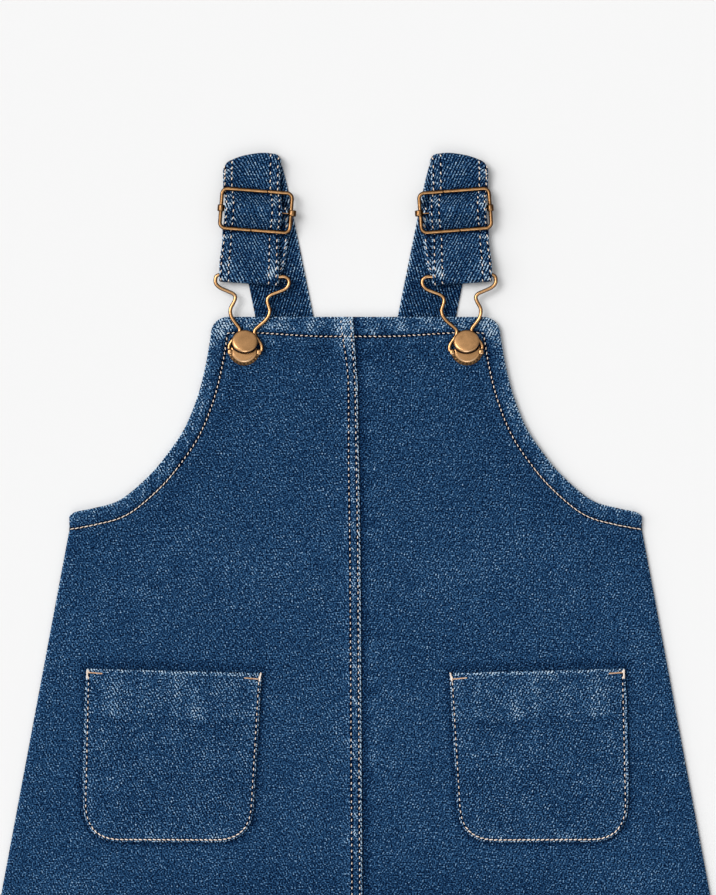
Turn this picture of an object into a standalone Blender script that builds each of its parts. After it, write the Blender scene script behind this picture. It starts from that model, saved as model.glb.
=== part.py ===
"""Child's denim pinafore dress with dungaree straps, laid flat with its front up.

Metres, +Z up. X runs across the dress, Y from the hem up to the straps. The
origin is at the middle of the outline, on the surface that the dress lies on.
Every outline is given on one half as (out, up): out from the middle, up along Y.
"""
import math

import bmesh
import bpy
from mathutils import Matrix, Vector

MM = 0.001

# Cloth
CLOTH = 1.2 * MM
TURNED = 0.6 * MM
GAP = 0.3 * MM
LAYER = CLOTH + GAP

# Outline of the dress
LENGTH = 531 * MM
HEM_HALF = 205 * MM
HEM_RISE = 12.5 * MM
HEM_BOW = 10 * MM
HEM_DEPTH = 15 * MM
BIB_TOP = 183.6 * MM
BACK_TOP = 171 * MM
BIB_CORNER = 8.5 * MM
EDGE_BAND = 8 * MM
RAMP = 1 * MM
UNDERARM_AT_MIDDLE = 60 * MM
ARMHOLE = (  # out, up in millimetres, from the underarm to the bib corner
    (143.3, 83.8),
    (140.0, 86.1),
    (131.3, 87.9),
    (117.8, 92.1),
    (103.3, 104.2),
    (93.3, 116.2),
    (85.3, 128.4),
    (79.0, 144.0),
    (74.9, 160.0),
    (72.2, 176.0),
    (71.4, 181.0),
)
SIDE_TOP = Vector((143.2 * MM, 77.5 * MM))
SIDE_SHARES = (0.16, 0.32, 0.48, 0.64, 0.82, 1.0)  # rows up the side, above the hem
ARMHOLE_ROWS = 16
FILL_COLUMNS = 5
CORNER_ROWS = ((0.5, 25), (1.0, 50))  # share of the bib corner's height, angle in degrees
SEAM = (  # up, x in millimetres: the fold of the felled seam, a little off the middle
    (-265.5, 4.0),
    (-105.0, 3.4),
    (67.0, 2.4),
    (151.0, 1.0),
    (183.6, -1.4),
)
SEAM_WIDTH = 5.5 * MM
SAME_PLACE = 0.01 * MM

# Patch pockets
POCKET_TOP = ((134.3, 7.6), (46.9, 5.0))
POCKET_FOOT = ((135.2, -78.8), (52.0, -79.0))
POCKET_CORNER = 18 * MM
POCKET_CORNER_STEPS = 6

# Straps
STRAP_WIDTH = 28.6 * MM
STRAP_BACK_TILT = math.radians(11.4)
STRAP_TOP_TILT = math.radians(8.5)
TOP_FOLD_BOW = 3.2 * MM
BOW_REACH = 16 * MM
HARDWARE_TILT = math.radians(-4.4)
STRAP_COLUMNS = (-1.0, -0.5, 0.0, 0.5, 1.0)
BOW_SHAPE = 2.5
BACK_STATIONS = (  # up in millimetres, share of the back tilt
    (175, 0.45),
    (180, 1.0),
    (200, 1.0),
    (222, 1.0),
    (245, 1.0),
)
TOP_STATIONS = ((0.3, 0.4), (0.65, -0.05))  # shares of the way down, of the turn back
LOWER_STATIONS = (  # up in millimetres, share of the rise onto the clip
    (221, 0.0),
    (214, 0.35),
    (210, 0.8),
    (207, 1.0),
)
SLIDER_STEPS = 6
FOLD_STEPS = 8
WRAP_STEPS = 10
STRAP_AT_BIB = Vector((35.5 * MM, 183.0 * MM))
TOP_FOLD_RADIUS = 2.2 * MM
STRAP_AT_SLIDER = 51.45 * MM
STRAP_AT_CLIP = 52.7 * MM
RETURN_SHIFT = 3.0 * MM

# Slider: a wire frame with a cross bar
SLIDER_OUT = 49.7 * MM
SLIDER_UP = 236.5 * MM
SLIDER_HALF_WIDTH = 17.5 * MM
SLIDER_HALF_HEIGHT = 9.9 * MM
SLIDER_CORNER = 2.8 * MM
SLIDER_WIRE = 0.85 * MM
BAR_RADIUS = 0.65 * MM
WIRE_ROUNDING = 2
SHARP_ANGLE = math.radians(40)
COLLAR_RADIUS = 1.75 * MM
COLLAR_HALF = 1.3 * MM
COLLAR_CHAMFER = 0.3 * MM
COLLAR_STEPS = 16

# Wire clip, about the middle of the loop that holds the button
CLIP_OUT = 55.0 * MM
CLIP_UP = 169.0 * MM
CLIP_WIRE = 0.92 * MM
CLIP_OUTER_LEG = (  # across, along in millimetres: from the strap down to the plate
    (-15.4, 34.6),
    (-17.1, 33.6),
    (-17.5, 31.6),
    (-16.9, 29.6),
    (-14.7, 27.9),
    (-11.1, 26.6),
    (-8.2, 25.5),
    (-6.9, 23.9),
    (-7.4, 21.4),
    (-8.7, 18.5),
    (-8.8, 16.0),
    (-7.8, 13.3),
    (-5.6, 10.6),
    (-3.5, 8.0),
    (-4.1, 5.6),
    (-5.8, 3.4),
    (-7.2, 1.6),
    (-8.1, -0.4),
    (-8.1, -2.0),
)
CLIP_INNER_LEG = (
    (14.4, 35.7),
    (16.7, 35.9),
    (18.8, 34.7),
    (19.2, 32.5),
    (17.8, 30.0),
    (14.5, 28.2),
    (10.8, 26.4),
    (9.1, 24.1),
    (9.7, 21.3),
    (10.7, 18.7),
    (10.3, 15.8),
    (8.6, 13.1),
    (6.0, 10.5),
    (4.0, 8.1),
    (4.4, 5.6),
    (6.2, 3.3),
    (7.6, 1.5),
    (8.2, -0.2),
    (8.1, -2.0),
)
PLATE_THICK = 2.0 * MM
PLATE_CENTRE = Vector((-0.3 * MM, -3.85 * MM))
PLATE_RADIUS = 6.4 * MM
PLATE_INNER = (7.9 * MM, 12.2 * MM)
PLATE_TIP = -2.23 * MM
EAR_AT = (6.9 * MM, -3.7 * MM)
EAR_RADIUS = 1.4 * MM
EAR_TAPER = 0.8
EAR_LEVEL = 0.65
EAR_HEIGHT = 1.2
PLATE_STEPS = 12
HOLLOW_STEPS = 8

# Button
BUTTON_AT = (-0.5 * MM, 2.1 * MM)
BUTTON_LEAN = math.radians(10)
BUTTON_STEPS = 20
BUTTON_PROFILE = (  # radius, height in millimetres, from the top down the outer side
    (0.0, 4.5),
    (5.3, 4.45),
    (5.9, 4.25),
    (6.15, 3.8),
    (5.9, 3.3),
    (2.2, 3.1),
    (2.2, 0.7),
    (2.7, 0.4),
    (2.7, 0.0),
    (0.0, 0.0),
)

# Heights of the middle of each cloth layer in a strap, and of the wires
BACK_LEVEL = CLOTH / 2
RETURN_LEVEL = BACK_LEVEL + LAYER
FRONT_LEVEL = RETURN_LEVEL + LAYER
SLIDER_LEVEL = FRONT_LEVEL + CLOTH / 2 + GAP + SLIDER_WIRE
WRAP_RADIUS = SLIDER_WIRE + GAP + CLOTH / 2
OVER_BAR_LEVEL = SLIDER_LEVEL + WRAP_RADIUS + LAYER
PANEL_FLOOR = LAYER
PANEL_TOP = PANEL_FLOOR + CLOTH
CLIP_LEVEL = PANEL_TOP + TURNED + GAP + CLIP_WIRE
CLIP_FOLD = CLIP_WIRE + GAP + CLOTH / 2
CLIP_FOLD_UP = 202.5 * MM

FINISHES = {  # colour, roughness, metallic
    "denim": ((0.024, 0.062, 0.132, 1.0), 0.85, 0.0),
    "brass": ((0.42, 0.25, 0.10, 1.0), 0.38, 1.0),
}


def clear_scene():
    for item in list(bpy.data.objects):
        bpy.data.objects.remove(item, do_unlink=True)


def new_collection(name):
    collection = bpy.data.collections.new(name)
    bpy.context.scene.collection.children.link(collection)
    return collection


def finish(name, kind):
    colour, roughness, metallic = FINISHES[kind]
    material = bpy.data.materials.new(kind + " " + name)
    material.use_nodes = True
    shader = material.node_tree.nodes["Principled BSDF"]
    shader.inputs["Base Color"].default_value = colour
    shader.inputs["Roughness"].default_value = roughness
    shader.inputs["Metallic"].default_value = metallic
    return material


def add_object(name, data, kind):
    item = bpy.data.objects.new(name, data)
    data.materials.append(finish(name, kind))
    parts.objects.link(item)
    return item


def mesh_from(bm, name):
    mesh = bpy.data.meshes.new(name)
    bm.to_mesh(mesh)
    bm.free()
    return mesh


def shade_round(item):
    item.data.shade_smooth()
    item.data.set_sharp_from_angle(angle=SHARP_ANGLE)


def between(a, b, share):
    return a + (b - a) * share


def at_height(table, up):
    """Read a table of (up, value) rows at one height, in metres."""
    rows = [(row[0] * MM, row[1] * MM) for row in table]
    for (low, first), (high, second) in zip(rows, rows[1:]):
        if up <= high:
            return between(first, second, max(0.0, (up - low) / (high - low)))
    return rows[-1][1]


def smooth_line(points, steps):
    """A Catmull-Rom line through the points, with some steps in each span."""
    ends = [points[0] * 2 - points[1]] + points + [points[-1] * 2 - points[-2]]
    line = []
    for a, b, c, d in zip(ends, ends[1:], ends[2:], ends[3:]):
        for step in range(steps):
            t = step / steps
            line.append(
                (b * 2 + (c - a) * t + (a * 2 - b * 5 + c * 4 - d) * t * t
                 + (b * 3 - a - c * 3 + d) * t ** 3) / 2
            )
    line.append(points[-1].copy())
    return line


def evenly(line, count):
    """Points at equal distances along a line."""
    lengths = [0.0]
    for a, b in zip(line, line[1:]):
        lengths.append(lengths[-1] + (b - a).length)
    spread = []
    for step in range(count + 1):
        wanted = lengths[-1] * step / count
        span = next(i for i in range(1, len(line)) if lengths[i] >= wanted - 1e-9)
        share = (wanted - lengths[span - 1]) / (lengths[span] - lengths[span - 1])
        spread.append(line[span - 1].lerp(line[span], share))
    return spread


def set_in(line, depth):
    """The line moved in towards the cloth, with mitred corners."""
    moved = []
    for i, point in enumerate(line):
        before = (point - line[max(i - 1, 0)]).normalized()
        after = (line[min(i + 1, len(line) - 1)] - point).normalized()
        before = before if before.length else after
        after = after if after.length else before
        normals = [Vector((-way.y, way.x)) for way in (before, after)]
        middle = (normals[0] + normals[1]).normalized()
        moved.append(point + middle * depth / middle.dot(normals[0]))
    return moved


# ---------------------------------------------------------------- panels


def outer_edge(top):
    """Side and armhole, from the hem corner to where the bib corner starts to round."""
    hem_corner = Vector((HEM_HALF, -LENGTH / 2 + HEM_RISE))
    side = SIDE_TOP - hem_corner
    shares = [0.0, HEM_DEPTH / side.length, (HEM_DEPTH + RAMP) / side.length]
    shares += SIDE_SHARES
    edge = [hem_corner + side * share for share in shares]
    curve = smooth_line([Vector(row) * MM for row in ARMHOLE], 8)
    start = top - BIB_CORNER
    curve = [point for point in curve if point.y < start]
    last = curve[-1]
    slope = (last - curve[-2]) / (last.y - curve[-2].y)
    curve.append(last + slope * (start - last.y))
    return edge, evenly(curve, ARMHOLE_ROWS)


def panel_rows(top, middle_at, seam_width):
    """Rows of (out, up, turned) across half a panel, from the hem to the top edge."""
    side, armhole = outer_edge(top)
    edge = side + armhole
    hem = -LENGTH / 2
    rows = []
    band = set_in(edge, EDGE_BAND)
    ramp = set_in(edge, EDGE_BAND + RAMP)
    inner_top = top - BIB_CORNER
    centre = Vector((edge[-1].x - BIB_CORNER, inner_top))
    band[-1] = centre
    ramp[-1] = centre - Vector((RAMP, 0.0))
    hem_ups = (0.0, HEM_DEPTH, HEM_DEPTH + RAMP)
    for i, point in enumerate(edge):
        if i < len(hem_ups):
            up = hem + hem_ups[i]
        elif i <= len(side):
            share = (i - 2) / (len(side) - 2)
            up = between(hem + HEM_DEPTH + RAMP, UNDERARM_AT_MIDDLE, share)
        else:
            up = between(UNDERARM_AT_MIDDLE, inner_top, (i - len(side)) / (len(armhole) - 1))
        bow = HEM_BOW * max(0.0, 1 - i / len(side))
        ends = (ramp[i], band[i], band[i].lerp(point, 0.5), point)
        hem_row = i < 2
        rows.append(panel_row(up, bow, ends, hem_row, i >= len(side), middle_at, seam_width))
    last = rows[-1]
    below = [Vector((p[0], p[1] - RAMP, p[2])) for p in last]
    rows[-1] = below
    rows.append([Vector((p[0], p[1], 1.0)) for p in last])
    for share, angle in CORNER_ROWS:
        up = between(inner_top, top, share)
        ways = (90, between(90, angle, 0.5), angle)
        arc = [centre + BIB_CORNER * Vector((math.cos(math.radians(way)),
                                            math.sin(math.radians(way)))) for way in ways]
        if share < 1.0:
            arc[0] = Vector((centre.x, up))
            arc[1] = arc[0].lerp(arc[2], 0.5)
        ends = [Vector((centre.x - RAMP, up))] + arc
        rows.append(panel_row(up, 0.0, ends, True, True, middle_at, seam_width))
    return rows


def panel_row(up, bow, ends, all_turned, edge_turned, middle_at, seam_width):
    """One row from the middle to the outer edge, with 1 where the cloth is turned double."""
    start = Vector((middle_at(up), up))
    row = []
    if seam_width:
        for across in (0.0, seam_width):
            row.append(Vector((start.x + across, up, 1.0)))
        start = start + Vector((seam_width + RAMP, 0.0))
    for step in range(FILL_COLUMNS):
        share = step / FILL_COLUMNS
        point = start.lerp(ends[0], share)
        sag = bow * share * (1 - share)
        row.append(Vector((point.x, point.y - sag, float(all_turned))))
    row.append(Vector((ends[0].x, ends[0].y, float(all_turned))))
    for point in ends[1:]:
        row.append(Vector((point.x, point.y, float(all_turned or edge_turned))))
    return row


def panel_mesh(rows, side, floor, turned):
    """A cloth wall on a flat underside: the rows on its floor, drawn up to its thickness."""
    bm = bmesh.new()
    across = len(rows[0]) - 1
    bmesh.ops.create_grid(bm, x_segments=across, y_segments=len(rows) - 1, size=1)
    bm.verts.ensure_lookup_table()
    wall = bm.verts.layers.float.new("wall")
    for i, row in enumerate(rows):
        for j, point in enumerate(row):
            vert = bm.verts[i * (across + 1) + j]
            vert.co = (side * point.x, point.y, floor)
            vert[wall] = CLOTH + turned * point.z
    raised = bmesh.ops.extrude_face_region(bm, geom=bm.faces[:])
    for vert in raised["geom"]:
        if isinstance(vert, bmesh.types.BMVert):
            vert.co.z += vert[wall]
    bmesh.ops.recalc_face_normals(bm, faces=bm.faces)
    return bm


def front_panels():
    """The left panel is folded over the right one's edge at the felled seam."""
    def left_middle(up):
        return -at_height(SEAM, up)

    def right_middle(up):
        return at_height(SEAM, up) + GAP

    left = panel_mesh(panel_rows(BIB_TOP, left_middle, SEAM_WIDTH), -1, PANEL_FLOOR, TURNED)
    add_object("front_panel_left", mesh_from(left, "front_panel_left"), "denim")
    right = panel_mesh(panel_rows(BIB_TOP, right_middle, 0.0), 1, PANEL_FLOOR, TURNED)
    add_object("front_panel_right", mesh_from(right, "front_panel_right"), "denim")


def back_panel():
    """One piece, drawn as a half and mirrored, lower at the top than the front."""
    half = panel_mesh(panel_rows(BACK_TOP, lambda up: 0.0, 0.0), 1, 0.0, 0.0)
    middle = [face for face in half.faces if all(abs(v.co.x) < SAME_PLACE for v in face.verts)]
    bmesh.ops.delete(half, geom=middle, context="FACES")
    item = add_object("back_panel", mesh_from(half, "back_panel"), "denim")
    mirror = item.modifiers.new("other half", "MIRROR")
    mirror.merge_threshold = 0.1 * MM


def pocket(name, side):
    """A patch with round lower corners, 0.3 mm above the panel that it is sewn to."""
    outer_top, inner_top = [Vector(point) * MM for point in POCKET_TOP]
    outer_foot, inner_foot = [Vector(point) * MM for point in POCKET_FOOT]
    outline = [inner_top, outer_top]
    for corner, before, after in (
        (outer_foot, outer_top, inner_foot),
        (inner_foot, outer_foot, inner_top),
    ):
        start = corner + (before - corner).normalized() * POCKET_CORNER
        end = corner + (after - corner).normalized() * POCKET_CORNER
        for step in range(POCKET_CORNER_STEPS + 1):
            t = step / POCKET_CORNER_STEPS
            outline.append(start * (1 - t) ** 2 + corner * 2 * t * (1 - t) + end * t * t)
    level = PANEL_TOP + GAP
    add_object(name, flat_curve(name, outline, side, level + CLOTH / 2, CLOTH), "denim")


def flat_curve(name, outline, side, middle, thickness):
    curve = bpy.data.curves.new(name, "CURVE")
    curve.dimensions = "2D"
    curve.fill_mode = "BOTH"
    curve.extrude = thickness / 2
    spline = curve.splines.new("POLY")
    spline.points.add(len(outline) - 1)
    for knot, point in zip(spline.points, outline):
        knot.co = (side * point.x, point.y, 0.0, 1.0)
    spline.use_cyclic_u = True
    placed = bpy.data.objects.new(name + " outline", curve)
    scratch.objects.link(placed)
    placed.location.z = middle
    mesh = solid_of(placed)
    bpy.data.objects.remove(placed)
    return mesh


def solid_of(item):
    """A curve made one closed mesh, with its caps joined on and its place kept."""
    bpy.context.view_layer.update()
    evaluated = item.evaluated_get(bpy.context.evaluated_depsgraph_get())
    mesh = bpy.data.meshes.new_from_object(evaluated)
    bm = bmesh.new()
    bm.from_mesh(mesh)
    bmesh.ops.remove_doubles(bm, verts=bm.verts, dist=SAME_PLACE)
    bm.transform(item.matrix_world)
    bmesh.ops.recalc_face_normals(bm, faces=bm.faces)
    bm.to_mesh(mesh)
    bm.free()
    return mesh


# ---------------------------------------------------------------- straps


def fold_bow(share):
    """How far the top fold's line stands up at a share of the half width."""
    slope = STRAP_WIDTH / 2 * share * -math.sin(STRAP_TOP_TILT)
    return slope - TOP_FOLD_BOW * abs(share) ** BOW_SHAPE


def strap_stations():
    """Places along the strap as (out, up, level, tilt), from the back to the sewn end."""
    lean = math.tan(STRAP_BACK_TILT)

    def in_slider(along):
        return STRAP_AT_SLIDER + along * SLIDER_HALF_HEIGHT * math.sin(HARDWARE_TILT)

    def back_out(up):
        return STRAP_AT_BIB.x + (up - STRAP_AT_BIB.y) * lean

    stations = [(back_out(BACK_TOP + GAP), BACK_TOP + GAP, BACK_LEVEL, 0.0)]
    for up, share in BACK_STATIONS:
        stations.append((back_out(up * MM), up * MM, BACK_LEVEL, STRAP_BACK_TILT * share))

    crest = max(fold_bow(share) for share in STRAP_COLUMNS)
    fold_up = LENGTH / 2 - crest - TOP_FOLD_RADIUS - CLOTH / 2
    fold_out = back_out(fold_up)
    stations += fold(fold_out, STRAP_AT_SLIDER, fold_up, BACK_LEVEL + TOP_FOLD_RADIUS,
                     TOP_FOLD_RADIUS, STRAP_TOP_TILT, -90, 90, FOLD_STEPS)
    high = BACK_LEVEL + 2 * TOP_FOLD_RADIUS
    top_bar = SLIDER_UP + SLIDER_HALF_HEIGHT
    for share, turn in TOP_STATIONS:
        up = between(fold_up, top_bar, share)
        ease = 0.5 + 0.5 * math.cos(math.pi * share)
        tilt = between(HARDWARE_TILT, STRAP_TOP_TILT, turn)
        out = between(STRAP_AT_SLIDER, in_slider(1), share)
        stations.append((out, up, between(FRONT_LEVEL, high, ease), tilt))

    for step in range(2 * SLIDER_STEPS + 1):
        along = 1 - step / SLIDER_STEPS
        level = between(FRONT_LEVEL, OVER_BAR_LEVEL, math.cos(along * math.pi / 2) ** 2)
        up = SLIDER_UP + along * SLIDER_HALF_HEIGHT
        stations.append((in_slider(along), up, level, HARDWARE_TILT))

    bottom_bar = SLIDER_UP - SLIDER_HALF_HEIGHT
    loop_high = CLIP_LEVEL + CLIP_FOLD
    loop_low = CLIP_LEVEL - CLIP_FOLD
    for up, share in LOWER_STATIONS:
        share_down = (bottom_bar - up * MM) / (bottom_bar - CLIP_FOLD_UP)
        out = between(in_slider(-1), STRAP_AT_CLIP, share_down)
        stations.append((out, up * MM, between(FRONT_LEVEL, loop_high, share), HARDWARE_TILT))

    stations += fold(STRAP_AT_CLIP, STRAP_AT_CLIP, CLIP_FOLD_UP, CLIP_LEVEL, CLIP_FOLD,
                     HARDWARE_TILT, 90, 270, FOLD_STEPS)
    bar_out = STRAP_AT_SLIDER - RETURN_SHIFT
    wrap_low = SLIDER_LEVEL - WRAP_RADIUS
    for up, level in ((207, loop_low), (210, between(loop_low, RETURN_LEVEL, 0.7)),
                      (215, RETURN_LEVEL), (229, RETURN_LEVEL),
                      (233, between(RETURN_LEVEL, wrap_low, 0.6))):
        share = (up * MM - CLIP_FOLD_UP) / (SLIDER_UP - CLIP_FOLD_UP)
        stations.append((between(STRAP_AT_CLIP, bar_out, share), up * MM, level, HARDWARE_TILT))
    stations += fold(bar_out, bar_out, SLIDER_UP, SLIDER_LEVEL, WRAP_RADIUS,
                     HARDWARE_TILT, -90, 100, WRAP_STEPS)
    return stations


def fold(out_first, out_last, up, level, radius, tilt, first, last, steps):
    """Stations round a fold whose axis lies across the strap."""
    stations = []
    for step in range(steps + 1):
        way = math.radians(between(first, last, step / steps))
        out = between(out_first, out_last, step / steps)
        stations.append((out, up + radius * math.cos(way), level + radius * math.sin(way), tilt))
    return stations


def strap(name, side):
    stations = strap_stations()
    across = len(STRAP_COLUMNS)
    fold_up = max(up for out, up, level, tilt in stations)
    bm = bmesh.new()
    bmesh.ops.create_grid(bm, x_segments=across - 1, y_segments=len(stations) - 1, size=1)
    bm.verts.ensure_lookup_table()
    for i, (out, up, level, tilt) in enumerate(stations):
        bowed = TOP_FOLD_BOW * max(0.0, 1 - (fold_up - up) / BOW_REACH)
        for j, share in enumerate(STRAP_COLUMNS):
            reach = STRAP_WIDTH / 2 * share
            drop = reach * math.sin(tilt) + bowed * abs(share) ** BOW_SHAPE
            place = (side * (out + reach * math.cos(tilt)), up - drop, level)
            bm.verts[i * across + j].co = place
    item = add_object(name, mesh_from(bm, name), "denim")
    wall = item.modifiers.new("wall", "SOLIDIFY")
    wall.thickness = CLOTH
    wall.offset = 0.0
    wall.use_even_offset = True


# ---------------------------------------------------------------- hardware


def hardware_frame(out, up, level, side):
    """Across, along and up for a piece of hardware, mirrored on the other side."""
    turn = Matrix.Rotation(HARDWARE_TILT, 4, "Z")
    mirror = Matrix.Diagonal((-side, 1.0, 1.0, 1.0))
    place = Matrix.Translation((-out, up, level))
    return mirror @ place @ turn


def wire(name, route, radius, closed, place):
    curve = bpy.data.curves.new(name, "CURVE")
    curve.dimensions = "3D"
    curve.bevel_depth = radius
    curve.bevel_resolution = WIRE_ROUNDING
    curve.use_fill_caps = not closed
    spline = curve.splines.new("POLY")
    spline.points.add(len(route) - 1)
    for knot, point in zip(spline.points, route):
        knot.co = (point[0], point[1], 0.0, 1.0)
    spline.use_cyclic_u = closed
    placed = bpy.data.objects.new(name + " route", curve)
    scratch.objects.link(placed)
    mesh = solid_of(placed)
    bpy.data.objects.remove(placed)
    set_in_place(mesh, place)
    item = add_object(name, mesh, "brass")
    shade_round(item)


def set_in_place(mesh, place):
    mesh.transform(place)
    if place.determinant() < 0:
        mesh.flip_normals()


def slider(side, word):
    place = hardware_frame(SLIDER_OUT, SLIDER_UP, SLIDER_LEVEL, side)
    route = []
    for corner in range(4):
        middle = math.radians(45 + 90 * corner)
        reach = Vector((SLIDER_HALF_WIDTH - SLIDER_CORNER, SLIDER_HALF_HEIGHT - SLIDER_CORNER))
        centre = Vector((math.copysign(reach.x, math.cos(middle)),
                         math.copysign(reach.y, math.sin(middle))))
        for step in range(5):
            way = middle + math.radians(-45 + 22.5 * step)
            route.append(centre + SLIDER_CORNER * Vector((math.cos(way), math.sin(way))))
    wire("slider_frame_" + word, route, SLIDER_WIRE, True, place)
    slider_bar("slider_bar_" + word, place)


def slider_bar(name, place):
    """The cross bar, with a collar at each end curled round the frame's side."""
    bm = bmesh.new()
    reach = SLIDER_HALF_WIDTH - (COLLAR_RADIUS + SLIDER_WIRE + GAP) / 2
    bmesh.ops.create_cone(bm, cap_ends=True, segments=12, radius1=BAR_RADIUS,
                          radius2=BAR_RADIUS, depth=2 * reach,
                          matrix=Matrix.Rotation(math.pi / 2, 4, "Y"))
    mesh = mesh_from(bm, name)
    set_in_place(mesh, place)
    item = add_object(name, mesh, "brass")
    for end in (-1, 1):
        join_on(item, collar(end), place)


def collar(end):
    inner = SLIDER_WIRE + GAP
    flat = COLLAR_HALF - COLLAR_CHAMFER
    chamfered = COLLAR_RADIUS - COLLAR_CHAMFER
    profile = ((inner, COLLAR_HALF), (chamfered, COLLAR_HALF), (COLLAR_RADIUS, flat),
               (COLLAR_RADIUS, -flat), (chamfered, -COLLAR_HALF), (inner, -COLLAR_HALF))
    bm = bmesh.new()
    verts = [bm.verts.new((radius, 0.0, height)) for radius, height in profile]
    for a, b in zip(verts, verts[1:] + verts[:1]):
        bm.edges.new((a, b))
    bmesh.ops.spin(bm, geom=bm.edges[:], cent=(0, 0, 0), axis=(0, 0, 1),
                   angle=math.tau, steps=COLLAR_STEPS, use_merge=True)
    bmesh.ops.remove_doubles(bm, verts=bm.verts, dist=SAME_PLACE)
    bmesh.ops.recalc_face_normals(bm, faces=bm.faces)
    turn = Matrix.Rotation(-math.pi / 2, 4, "X")
    bm.transform(Matrix.Translation((end * SLIDER_HALF_WIDTH, 0, 0)) @ turn)
    return mesh_from(bm, "collar")


def join_on(item, mesh, place):
    """Join one more shape to a piece, with a Boolean that stays on it."""
    set_in_place(mesh, place)
    shape = bpy.data.objects.new(mesh.name, mesh)
    scratch.objects.link(shape)
    shape.hide_render = True
    shape.display_type = "WIRE"
    join = item.modifiers.new(mesh.name, "BOOLEAN")
    join.operation = "UNION"
    join.object = shape


def clip_wire(name, side):
    legs = []
    for table in (CLIP_OUTER_LEG, CLIP_INNER_LEG):
        legs.append(smooth_line([Vector(point) * MM for point in table], 2))
    outer, inner = legs
    place = hardware_frame(CLIP_OUT, CLIP_UP, CLIP_LEVEL, side)
    wire(name, outer[::-1] + inner, CLIP_WIRE, False, place)


def clip_plate(name, side):
    """A crescent below the button, with an ear at each end where the wire goes in."""
    outline = []
    for step in range(PLATE_STEPS + 1):
        way = math.radians(between(-8, -172, step / PLATE_STEPS))
        outline.append(PLATE_CENTRE + PLATE_RADIUS * Vector((math.cos(way), math.sin(way))))
    centre, radius = PLATE_INNER
    half = math.acos((centre - PLATE_TIP) / radius)
    for step in range(HOLLOW_STEPS + 1):
        way = half * (2 * step / HOLLOW_STEPS - 1)
        outline.append(Vector((radius * math.sin(way), centre - radius * math.cos(way))))
    level = PANEL_TOP + GAP
    place = hardware_frame(CLIP_OUT, CLIP_UP, 0.0, side)
    mesh = flat_curve(name, outline, 1, level + PLATE_THICK / 2, PLATE_THICK)
    set_in_place(mesh, place)
    item = add_object(name, mesh, "brass")
    for end in (-1, 1):
        centre = Vector((end * EAR_AT[0], EAR_AT[1], level + PLATE_THICK * EAR_LEVEL))
        bm = bmesh.new()
        bmesh.ops.create_cone(bm, cap_ends=True, segments=12, radius1=EAR_RADIUS,
                              radius2=EAR_RADIUS * EAR_TAPER, depth=PLATE_THICK * EAR_HEIGHT,
                              matrix=Matrix.Translation(centre))
        join_on(item, mesh_from(bm, "ear"), place)


def button(name, side):
    """A turned button that leans a little towards the straps."""
    bm = bmesh.new()
    verts = [bm.verts.new((radius * MM, 0.0, height * MM)) for radius, height in BUTTON_PROFILE]
    for a, b in zip(verts, verts[1:]):
        bm.edges.new((a, b))
    bmesh.ops.spin(bm, geom=bm.edges[:], cent=(0, 0, 0), axis=(0, 0, 1),
                   angle=math.tau, steps=BUTTON_STEPS, use_merge=True)
    bmesh.ops.remove_doubles(bm, verts=bm.verts, dist=SAME_PLACE)
    bmesh.ops.recalc_face_normals(bm, faces=bm.faces)
    foot = PANEL_TOP + GAP + BUTTON_PROFILE[-2][0] * MM * math.sin(BUTTON_LEAN)
    lean = Matrix.Rotation(-BUTTON_LEAN, 4, "X")
    mesh = mesh_from(bm, name)
    frame = hardware_frame(CLIP_OUT, CLIP_UP, 0.0, side)
    set_in_place(mesh, frame @ Matrix.Translation((*BUTTON_AT, foot)) @ lean)
    shade_round(add_object(name, mesh, "brass"))


clear_scene()
parts = new_collection("Pinafore dress")
scratch = new_collection("Cutters and joined shapes")
back_panel()
front_panels()
for side, word in ((-1, "left"), (1, "right")):
    pocket("pocket_" + word, side)
    strap("strap_" + word, side)
    slider(side, word)
    clip_wire("clip_wire_" + word, side)
    clip_plate("clip_plate_" + word, side)
    button("button_" + word, side)
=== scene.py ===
"""Child's denim pinafore dress, laid flat with its front up: cloth, stitches and brass fittings.

Metres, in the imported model's frame: X across the dress, Y from the hem up to the straps,
+Z up. Places on the dress are given on one half as (out, up): out from the middle, up along Y.
"""

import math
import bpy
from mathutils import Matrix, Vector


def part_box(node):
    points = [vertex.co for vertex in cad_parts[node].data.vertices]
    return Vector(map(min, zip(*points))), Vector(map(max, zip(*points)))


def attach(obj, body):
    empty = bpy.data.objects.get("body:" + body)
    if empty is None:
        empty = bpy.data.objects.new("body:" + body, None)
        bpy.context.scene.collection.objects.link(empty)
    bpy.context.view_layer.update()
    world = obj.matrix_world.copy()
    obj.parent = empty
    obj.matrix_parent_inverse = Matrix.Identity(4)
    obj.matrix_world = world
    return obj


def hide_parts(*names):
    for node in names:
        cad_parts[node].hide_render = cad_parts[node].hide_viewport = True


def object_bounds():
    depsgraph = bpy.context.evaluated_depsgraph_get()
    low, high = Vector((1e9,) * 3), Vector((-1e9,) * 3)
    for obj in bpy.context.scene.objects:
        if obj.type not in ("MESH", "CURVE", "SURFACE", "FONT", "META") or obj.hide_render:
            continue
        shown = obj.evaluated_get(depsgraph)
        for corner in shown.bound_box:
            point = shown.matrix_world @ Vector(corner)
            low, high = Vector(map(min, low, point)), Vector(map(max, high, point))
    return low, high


bl_info = {
    "name": "Denim pinafore dress",
    "version": (1, 0, 0),
    "blender": (4, 5, 0),
    "location": "View3D > Sidebar > Pinafore",
    "description": "Makes a denim pinafore dress with dungaree straps, laid flat",
    "category": "Object",
}

from collections import namedtuple

import bmesh
import bpy
from bpy.props import FloatProperty, FloatVectorProperty, PointerProperty
from mathutils import Matrix, Vector, noise
from mathutils.kdtree import KDTree

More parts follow.
